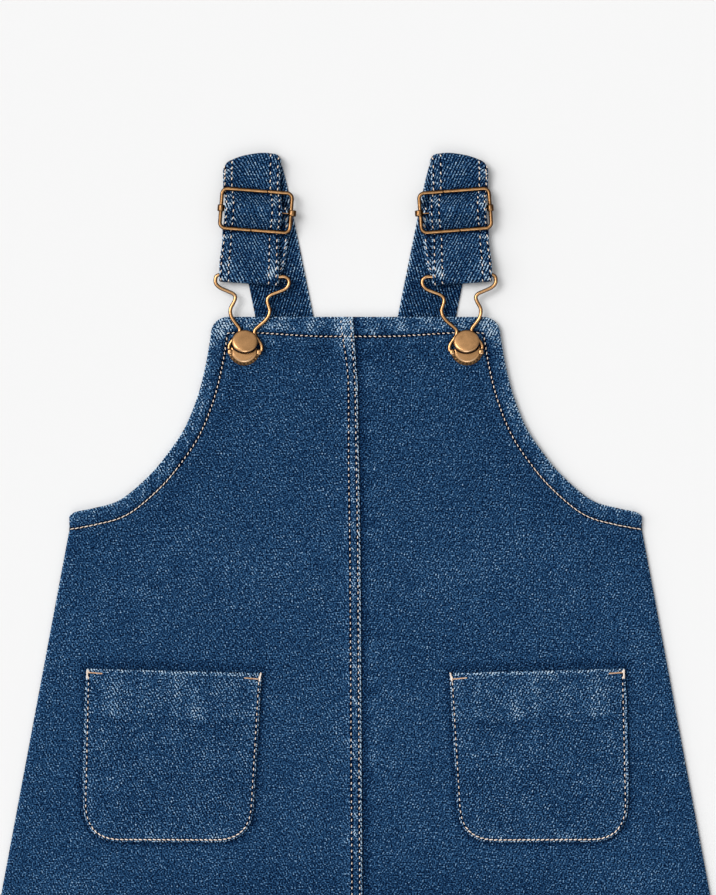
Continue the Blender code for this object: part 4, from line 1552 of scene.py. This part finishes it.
def add_node(tree, kind, inputs=None, **settings):
    """A node with its settings and inputs."""
    node = tree.nodes.new(kind)
    for key, value in settings.items():
        setattr(node, key, value)
    fill(tree, node, inputs or {})
    return node


def calc(tree, operation, *values):
    return add_node(tree, "ShaderNodeMath", dict(enumerate(values)), operation=operation).outputs[0]


def scaled(tree, value, factor, added):
    """A value times a factor, with something added."""
    return calc(tree, "MULTIPLY_ADD", value, factor, added)


def wave(tree, turns):
    """A wave between -1 and 1."""
    return calc(tree, "SINE", calc(tree, "MULTIPLY", turns, math.tau))


def off_middle(tree, pattern):
    """A pattern between 0 and 1, moved to lie about 0."""
    return calc(tree, "SUBTRACT", pattern, 0.5)


def on_cloth(tree, operation, *values):
    """Vector maths on places of the cloth."""
    return add_node(tree, "ShaderNodeVectorMath", dict(enumerate(values)), operation=operation)


def far_along(tree, place, way):
    """How far a place on the cloth lies along a direction, in steps as long as it says."""
    return on_cloth(tree, "DOT_PRODUCT", place, (*way, 0)).outputs["Value"]


def cells(tree, vector, size, detail=0.0):
    """Noise between 0 and 1 with cells of about a size, which may differ across and along."""
    scale = [1 / part for part in size]
    place = add_node(tree, "ShaderNodeMapping", {"Vector": vector, "Scale": scale}).outputs[0]
    inputs = {"Vector": place, "Scale": 1.0, "Detail": detail}
    return add_node(tree, "ShaderNodeTexNoise", inputs).outputs[0]


def blend(tree, value, stops):
    """Colours blended between their places on a scale from 0 to 1."""
    ramp = add_node(tree, "ShaderNodeValToRGB", {0: value})
    elements = ramp.color_ramp.elements
    for index, (place, shade) in enumerate(stops):
        stop = elements[index] if index < 2 else elements.new(place)
        stop.position = place
        stop.color = (*shade, 1.0)
    return ramp.outputs[0]


def bumped(tree, height, strength, distance):
    """A shallow relief, for a shader's normal."""
    inputs = {"Height": height, "Strength": strength, "Distance": distance * MM}
    return add_node(tree, "ShaderNodeBump", inputs).outputs[0]


def new_material(name):
    material = bpy.data.materials.new(name)
    material.use_nodes = True
    return material, material.node_tree, material.node_tree.nodes["Principled BSDF"]


def denim(name, hand, pitch, contrast, ribbed=1.0, gritty=1.0):
    """Washed denim: twill lines and flecks of weft over a fade with painted shade read from the
    mesh, and painted shadow beside stitched rows.
    """
    material, tree, shader = new_material(name)
    colours = bpy.context.scene.pinafore_colour
    flat = add_node(tree, "ShaderNodeUVMap", uv_map="weave").outputs[0]
    fade, row, pull = [
        add_node(tree, "ShaderNodeAttribute", attribute_name=mark).outputs["Fac"]
        for mark in ("fade", "row", "pull")
    ]
    rubbed_on = calc(tree, "MAXIMUM", fade, 0.0)

    # Twill lines, which sway and drift a little and are deeper in places
    drift = cells(tree, flat, (0.0060, 0.0080, 1))
    sway = {"Vector": flat, "Scale": 1 / 0.004, "Detail": 1.0}
    sway = add_node(tree, "ShaderNodeTexNoise", sway).outputs["Color"]
    weave = on_cloth(tree, "MULTIPLY_ADD", sway, (SWAY, SWAY, 0), flat).outputs[0]
    slant = math.hypot(STEEPNESS, 1)
    rib = far_along(tree, weave, (hand * STEEPNESS / pitch / slant, 1 / pitch / slant))
    phase = scaled(tree, drift, DRIFT, rib)
    line = wave(tree, phase)
    depth = cells(tree, weave, (0.0040, 0.0050, 1))
    twill = calc(tree, "MULTIPLY", line, scaled(tree, depth, 1.4, 0.3))

    # Short dashes along the crests of the lines
    run = far_along(tree, weave, (1 / slant, -hand * STEEPNESS / slant))
    line_at = calc(tree, "FLOOR", phase)
    dash_at = calc(tree, "FLOOR", scaled(tree, line_at, 0.37, calc(tree, "DIVIDE", run, DASH)))
    dash_at = add_node(tree, "ShaderNodeCombineXYZ", {0: line_at, 1: dash_at}).outputs[0]
    dash = add_node(tree, "ShaderNodeTexWhiteNoise", {"Vector": dash_at}, noise_dimensions="2D")
    crest = scaled(tree, line, 0.5, 0.5)
    dash = calc(tree, "MULTIPLY", crest, off_middle(tree, dash.outputs["Value"]))

    # Single threads, grit and clouds
    float_at = on_cloth(tree, "SNAP", weave, (WARP, PICKS, 1)).outputs[0]
    fleck = add_node(tree, "ShaderNodeTexWhiteNoise", {"Vector": float_at}).outputs["Value"]
    ribs = scaled(tree, rubbed_on, RIB_WEAR, TWILL * ribbed)
    grain = scaled(tree, twill, ribs, calc(tree, "MULTIPLY", dash, DASHED * 2))
    for pattern, share in (
        (cells(tree, weave, (0.0005, 0.0030, 1)), SLUB),
        (cells(tree, weave, (0.0020, 0.0005, 1)), PICK),
        (fleck, FLECK),
        (cells(tree, weave, (0.006, 0.008, 1), 2.0), CLOUD),
        (cells(tree, weave, (GRIT_SIZE, GRIT_SIZE, 1)), GRIT * gritty),
    ):
        grain = scaled(tree, off_middle(tree, pattern), share, grain)

    # The tone: grain, fade with painted shade, drawn lines and painted shadow in the stitched
    # grooves
    level = scaled(tree, grain, scaled(tree, rubbed_on, GAIN * contrast, contrast), LEVEL)
    level = scaled(tree, fade, FADE_AND_SHADE, level)
    drawn = far_along(tree, weave, [part / PULL_PITCH for part in PULL_WAY])
    drawn = wave(tree, scaled(tree, drift, 2.0, drawn))
    level = scaled(tree, scaled(tree, drawn, 0.6, 0.25), pull, level)
    # Painted shadow in the groove beside each stitched row
    groove = add_node(tree, "ShaderNodeMapRange",
                      {0: calc(tree, "ABSOLUTE", row), 1: GROOVE[0], 2: GROOVE[1]},
                      interpolation_type="SMOOTHSTEP").outputs[0]
    level = scaled(tree, groove, -ROW_PAINTED_SHADOW, level)
    tones = ((-TONE_LOW, colours.gap), (0.0, colours.indigo), (0.40, colours.blue),
             (0.75, colours.washed), (1.0, colours.pale), (TONE_SPAN - TONE_LOW, colours.weft))
    stops = [((tone + TONE_LOW) / TONE_SPAN, shade) for tone, shade in tones]
    share = scaled(tree, level, 1 / TONE_SPAN, TONE_LOW / TONE_SPAN)
    fill(tree, shader, {
        "Base Color": blend(tree, share, stops),
        "Normal": bumped(tree, scaled(tree, twill, 0.5, fleck), 0.3, 0.12),
        "Roughness": 0.9,
        "Specular IOR Level": 0.03,
    })
    return material


def thread(name, main, shade):
    """Spun thread: two plies twisted round each other, with painted light and shade along the
    twist, over an uneven mix of its two colours.
    """
    material, tree, shader = new_material(name)
    ply = add_node(tree, "ShaderNodeUVMap", uv_map="ply").outputs[0]
    parts = add_node(tree, "ShaderNodeSeparateXYZ", {0: ply}).outputs
    twist = scaled(tree, parts["X"], 2.0, calc(tree, "MULTIPLY", parts["Y"], 3.0))
    # Painted light and shade along the twist of the plies
    plies = wave(tree, twist)
    object_at = add_node(tree, "ShaderNodeTexCoord").outputs["Object"]
    uneven = cells(tree, object_at, (0.0022, 0.0022, 0.0022), 1.0)
    share = scaled(tree, plies, 0.18, scaled(tree, uneven, 1.1, -0.4))
    mix = add_node(tree, "ShaderNodeMix", {0: share, 6: (*main, 1.0), 7: (*shade, 1.0)},
                   data_type="RGBA")
    fill(tree, shader, {
        "Base Color": mix.outputs[2],
        "Normal": bumped(tree, plies, 0.4, 0.1),
        "Roughness": 0.62,
        "Sheen Weight": 0.1,
    })
    return material


def antique_brass(name, speck, dull, side_shade):
    """Brass with a dark film in patches; painted shade darkens its steep sides, and a painted
    highlight lights its rims towards the hem where they face up.
    """
    material, tree, shader = new_material(name)
    colours = bpy.context.scene.pinafore_colour
    place = add_node(tree, "ShaderNodeTexCoord").outputs["Object"]
    facing = add_node(tree, "ShaderNodeNewGeometry").outputs["Normal"]
    facing = add_node(tree, "ShaderNodeSeparateXYZ", {0: facing}).outputs
    lower = calc(tree, "MAXIMUM", calc(tree, "MULTIPLY", facing["Y"], -1.0), 0.0)
    upright = calc(tree, "MAXIMUM", calc(tree, "SUBTRACT", facing["Z"], RIM_FACING), 0.0)
    film = cells(tree, place, (0.0035, 0.0035, 0.0035), 3.0)
    specks = cells(tree, place, [speck * MM] * 3, 2.0)
    mixed = scaled(tree, off_middle(tree, film), 0.7, dull)
    mixed = scaled(tree, off_middle(tree, specks), 0.5, mixed)
    # Painted shade: the steeper the face, the darker
    mixed = scaled(tree, calc(tree, "SUBTRACT", 1.0, facing["Z"]), side_shade, mixed)
    # Painted highlight on rims that face the hem and up
    mixed = scaled(tree, calc(tree, "MULTIPLY", lower, upright), RIM_HIGHLIGHT, mixed)
    stops = ((0.0, colours.bright), (0.5, colours.brass), (1.0, colours.film_and_shade))
    dull_share = add_node(tree, "ShaderNodeClamp", {0: mixed}).outputs[0]
    fill(tree, shader, {
        "Base Color": blend(tree, scaled(tree, mixed, 0.5, 0.5), stops),
        "Roughness": scaled(tree, dull_share, 0.16, 0.28),
        "Normal": bumped(tree, specks, 0.2, 0.05),
        "Metallic": 1.0,
    })
    return material


def plain(name, shade):
    material, tree, shader = new_material(name)
    fill(tree, shader, {"Base Color": (*shade, 1.0), "Roughness": 0.95, "Specular IOR Level": 0.0})
    return material


def finish_of(name, maker, *values):
    """A finish that several pieces share, made once."""
    return bpy.data.materials.get(name) or maker(name, *values)


def panel_denim(side):
    return finish_of("denim " + WORD[side], denim, -side, PANEL_PITCH, 1.0)


def pocket_denim(side):
    return finish_of("pocket denim " + WORD[side], denim, -side, PANEL_PITCH, 1.12, 1.3)


def strap_denim():
    return finish_of("strap denim", denim, 1, STRAP_PITCH, 1.22, 2.7, 0.8)


def cream_thread():
    colours = bpy.context.scene.pinafore_colour
    return finish_of("cream thread", thread, colours.cream, colours.tan)


def tan_thread():
    colours = bpy.context.scene.pinafore_colour
    return finish_of("tan thread", thread, colours.tan, colours.cream)


# ---------------------------------------------------------------- operators


class PINAFORE_OT_back(bpy.types.Operator):
    """The back panel, in one piece, lying on the table"""
    bl_idname = "pinafore.back"
    bl_label = "Back panel"

    def execute(self, context):
        gap = context.scene.pinafore_cloth.back_spacing
        steps = [0.0, 2.5 * MM]
        half = half_rows(BACK_TOP, middle_line, steps, gap, BACK_FILL)
        rows = []
        for row in half:
            rows.append([Vector((-point.x, point.y)) for point in row[:0:-1]] + row)
        spots = panel_spots(rows, 1, back_surface())
        mesh = cloth_mesh("back_cloth", spots, True)
        item = add_piece("back_cloth", mesh, panel_denim(1), "denim", "back_panel")
        cut_area(outline_of(rows))
        return {"FINISHED"}


class PINAFORE_OT_fronts(bpy.types.Operator):
    """The two front panels, the left one felled over the right one's edge"""
    bl_idname = "pinafore.fronts"
    bl_label = "Front panels"

    def execute(self, context):
        gap = context.scene.pinafore_cloth.spacing
        for side in (-1, 1):
            middle_at = left_fold if side < 0 else tucked_edge
            steps = [step * MM for step in SEAM_STEPS[side]]
            rows = half_rows(BIB_TOP, middle_at, steps, gap, FRONT_FILL)
            lay_cloth("front_cloth_" + WORD[side], "front_panel_" + WORD[side], side, rows,
                      front_surface(side), panel_denim(side))
        return {"FINISHED"}


class PINAFORE_OT_pockets(bpy.types.Operator):
    """The two patch pockets"""
    bl_idname = "pinafore.pockets"
    bl_label = "Pockets"

    def execute(self, context):
        for side, word in WORD.items():
            lay_cloth("pocket_cloth_" + word, "pocket_" + word, side, pocket_rows(),
                      pocket_surface(), pocket_denim(side))
        return {"FINISHED"}


class PINAFORE_OT_straps(bpy.types.Operator):
    """The two straps, each doubled back through its slider and its clip"""
    bl_idname = "pinafore.straps"
    bl_label = "Straps"

    def execute(self, context):
        for side, word in WORD.items():
            strap = Strap(side)
            gap, step_along = STRAP_MESH
            half = [share / 2 for share in fine_then_even(STRAP_WIDTH / 2, gap)]
            shares = half + [1 - share for share in half[-2::-1]]
            acrosses = [(share - 0.5) * STRAP_WIDTH for share in shares]
            count = round(strap.far[-1] / step_along)
            rows = [[strap.spot(strap.far[-1] * step / count, across) for across in acrosses]
                    for step in range(count + 1)]
            name = "strap_cloth_" + word
            item = add_piece(name, cloth_mesh(name, rows), strap_denim(), "denim", "strap_" + word)
        return {"FINISHED"}


def rim_rows(top, middle, band):
    """The stitched rows along the armhole and along the top, which meet in a square corner."""
    armhole = evenly(set_in(armhole_fold(top), band), 0.5 * MM)
    armhole = [point for point in armhole if point.x < SIDE_TOP.x - 0.3 * MM]
    outs = [between(armhole[-1].x + 0.6 * MM, middle, step / 40) for step in range(41)]
    along_top = [Vector((out, top - rim_row(Vector((out, top)), top, band))) for out in outs]
    return armhole, along_top


class PINAFORE_OT_panel_stitches(bpy.types.Operator):
    """Rows along the armholes, bib, seam and hem"""
    bl_idname = "pinafore.panel_stitches"
    bl_label = "Panel stitches"

    def execute(self, context):
        sizes = context.scene.pinafore_cloth
        stitches = context.scene.pinafore_stitch
        hem = [point + Vector((0.0, sizes.hem_row)) for point in hem_line()[:-1]]
        for side in (-1, 1):
            surface = front_surface(side)
            middle = side * at_height(SEAM, BIB_TOP)
            places = sew_flat(hem, side, surface, stitches.pitch)
            armhole, along_top = rim_rows(BIB_TOP, middle, sizes.band)
            low = sum(point.y < ROPE_TOP for point in armhole)
            places += sew_flat(armhole[:low + 1], side, surface, stitches.rim_pitch,
                               **ROW_LOOKS["armhole"])
            for row in (armhole[low:], along_top):
                places += sew_flat(row, side, surface, stitches.rim_pitch, **ROW_LOOKS["rim"])
            if side < 0:
                heights = [between(HEM + 2 * MM, BIB_TOP - 1 * MM, step / 60) for step in range(61)]
                near = [Vector((left_fold(up) + SEAM_NEAR_ROW, up)) for up in heights]
                far = [Vector((left_fold(up) + at_height(SEAM_FAR_ROW, up), up)) for up in heights]
                for row in (near, far):
                    places += sew_flat(row, side, surface, stitches.pitch, **ROW_LOOKS["seam"])
            add_stitches("front_stitches_" + WORD[side], places, cream_thread())
        places = []
        surface = back_surface()
        for side in (-1, 1):
            for row in (hem, *rim_rows(BACK_TOP, 0.0, sizes.band)):
                places += sew_flat(row, side, surface, stitches.pitch, under=True)
        add_stitches("back_stitches", places, cream_thread())
        return {"FINISHED"}


class PINAFORE_OT_pocket_stitches(bpy.types.Operator):
    """A row round each pocket, and the bar tacks at its mouth"""
    bl_idname = "pinafore.pocket_stitches"
    bl_label = "Pocket stitches"

    def execute(self, context):
        pitch = context.scene.pinafore_stitch.pitch
        for side, word in WORD.items():
            surface = pocket_surface()
            line = set_in(smooth_line(evenly(pocket_sides(), 3 * MM), 4), POCKET_ROW)[1:]
            foot = [point for point in line if point.y < POCKET_FOOT[0].y + 8 * MM]
            start = line.index(foot[0])
            places = sew_flat(foot, side, surface, pitch * FOOT_PITCH, **ROW_LOOKS["pocket foot"])
            for upright in (line[:start + 1], line[start + len(foot) - 1:]):
                places += sew_flat(upright, side, surface, pitch, **ROW_LOOKS["pocket side"])
            for bar in MOUTH_UPRIGHTS:
                places += tack(bar, side, surface, UPRIGHT_WIDTH)
            add_stitches("pocket_stitches_" + word, places, cream_thread())
            places = []
            for bar in MOUTH_BARS:
                places += tack(bar, side, surface, BAR_WIDTH)
            add_stitches("bar_tacks_" + word, places, tan_thread())
        return {"FINISHED"}


class PINAFORE_OT_strap_stitches(bpy.types.Operator):
    """Two rows near each side of the straps, showing on the outer face and at the sewn end"""
    bl_idname = "pinafore.strap_stitches"
    bl_label = "Strap stitches"

    def execute(self, context):
        sizes = context.scene.pinafore_stitch
        for side in (-1, 1):
            strap = Strap(side)
            places = []
            count = round(strap.far[-1] / sizes.strap_pitch)
            for row in STRAP_ROWS:
                for step in range(count):
                    along = strap.far[-1] * (step + 0.5 + 0.25 * waver(row / MM, 0.0, 97.0)) / count
                    middle, way, out = strap.frame_at(along, row)
                    faces = (1, -1) if along > strap.far[-1] * RETURN_SHARE else (1,)
                    for sign in faces:
                        face = (1 - sign) // 2
                        height = strap.wall / 2 + strap.relief(along, row, face)[0] + 0.10 * MM
                        lean = STRAP_LEAN * side * sign + 0.12 * waver(step * 0.6, row / MM, 98.0)
                        turned = Matrix.Rotation(lean, 3, out) @ way
                        centre = middle + out * sign * height
                        centre.z = max(centre.z, LOWEST + 0.2 * MM)
                        reach = sizes.reach * sizes.strap_pitch * STRAP_REACH
                        places.append(stitch(centre, turned, out * sign, reach, sizes.thread))
            add_stitches("strap_stitches_" + WORD[side], places, cream_thread())
        return {"FINISHED"}


class PINAFORE_OT_fittings(bpy.types.Operator):
    """Sliders, wire clips with their plates, and buttons"""
    bl_idname = "pinafore.fittings"
    bl_label = "Fittings"

    def execute(self, context):
        kinds = (
            ("slider_", make_slider, "slider", ("slider_frame_", "slider_bar_")),
            ("clip_", make_clip_wire, "wire", ("clip_wire_",)),
            ("plate_", make_plate, "plate", ("clip_plate_",)),
            ("head_", make_button, "head", ("button_",)),
        )
        for side, word in WORD.items():
            for name, make, finish, nodes in kinds:
                brass = finish_of(finish + " brass", antique_brass, *BRASS_FINISHES[finish])
                add_piece(name + word, make(side), brass, "brass", *[node + word for node in nodes])
        return {"FINISHED"}


class PINAFORE_OT_stage(bpy.types.Operator):
    """Pale floor, soft light and a camera that looks straight down"""
    bl_idname = "pinafore.stage"
    bl_label = "Stage"

    def execute(self, context):
        scene = context.scene
        stage = scene.pinafore_stage
        bm = bmesh.new()
        bmesh.ops.create_grid(bm, x_segments=1, y_segments=1, size=3.0)
        floor = bpy.data.objects.new("floor", mesh_from(bm, "floor"))
        floor.data.transform(Matrix.Translation((0, 0, -0.02 * MM)))
        floor.data.materials.append(plain("floor", scene.pinafore_colour.floor))
        scene.collection.objects.link(floor)

        world = bpy.data.worlds.new("studio")
        scene.world = world
        world.use_nodes = True
        tree = world.node_tree
        sky = add_node(tree, "ShaderNodeTexCoord").outputs["Generated"]
        high = add_node(tree, "ShaderNodeSeparateXYZ", {0: sky}).outputs["Z"]
        greys = blend(tree, high, [(place, [grey] * 3) for place, grey in SKY])
        fill(tree, tree.nodes["Background"], {"Color": greys, "Strength": stage.dome})

        for name, share, turn, angle in LAMPS:
            lamp = bpy.data.lights.new(name, "SUN")
            lamp.energy = stage.key * share
            lamp.angle = math.radians(angle)
            item = bpy.data.objects.new(name, lamp)
            item.rotation_euler = [math.radians(part) for part in (*turn, 0)]
            scene.collection.objects.link(item)

        camera = bpy.data.cameras.new("camera")
        camera.sensor_width = 36.0
        camera.lens = camera.sensor_width * stage.distance / stage.height
        camera.clip_end = 20.0
        item = bpy.data.objects.new("camera", camera)
        item.location = (stage.aside, CAD_BOX[1].y - stage.below_top, FRONT_TOP + stage.distance)
        scene.collection.objects.link(item)
        scene.camera = item
        scene.view_settings.view_transform = "Standard"
        return {"FINISHED"}


OPERATORS = (
    PINAFORE_OT_stage,
    PINAFORE_OT_back,
    PINAFORE_OT_fronts,
    PINAFORE_OT_pockets,
    PINAFORE_OT_fittings,
    PINAFORE_OT_straps,
    PINAFORE_OT_panel_stitches,
    PINAFORE_OT_pocket_stitches,
    PINAFORE_OT_strap_stitches,
)
SETTINGS = {
    "pinafore_cloth": ClothSettings,
    "pinafore_stitch": StitchSettings,
    "pinafore_colour": ColourSettings,
    "pinafore_stage": StageSettings,
}


class PINAFORE_PT_panel(bpy.types.Panel):
    """The dress's steps and settings"""
    bl_idname = "PINAFORE_PT_panel"
    bl_label = "Denim pinafore"
    bl_space_type = "VIEW_3D"
    bl_region_type = "UI"
    bl_category = "Pinafore"

    def draw(self, context):
        for step in OPERATORS:
            self.layout.operator(step.bl_idname)
        for name, kind in SETTINGS.items():
            box = self.layout.box()
            for key in kind.__annotations__:
                box.prop(getattr(context.scene, name), key)


def register():
    for name, kind in SETTINGS.items():
        bpy.utils.register_class(kind)
        setattr(bpy.types.Scene, name, PointerProperty(type=kind))
    for kind in (*OPERATORS, PINAFORE_PT_panel):
        bpy.utils.register_class(kind)


def unregister():
    for kind in (PINAFORE_PT_panel, *OPERATORS[::-1]):
        bpy.utils.unregister_class(kind)
    for name, kind in SETTINGS.items():
        delattr(bpy.types.Scene, name)
        bpy.utils.unregister_class(kind)


def main():
    register()
    for step in OPERATORS:
        group, name = step.bl_idname.split(".")
        getattr(getattr(bpy.ops, group), name)()
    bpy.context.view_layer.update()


if __name__ == "__main__":
    main()
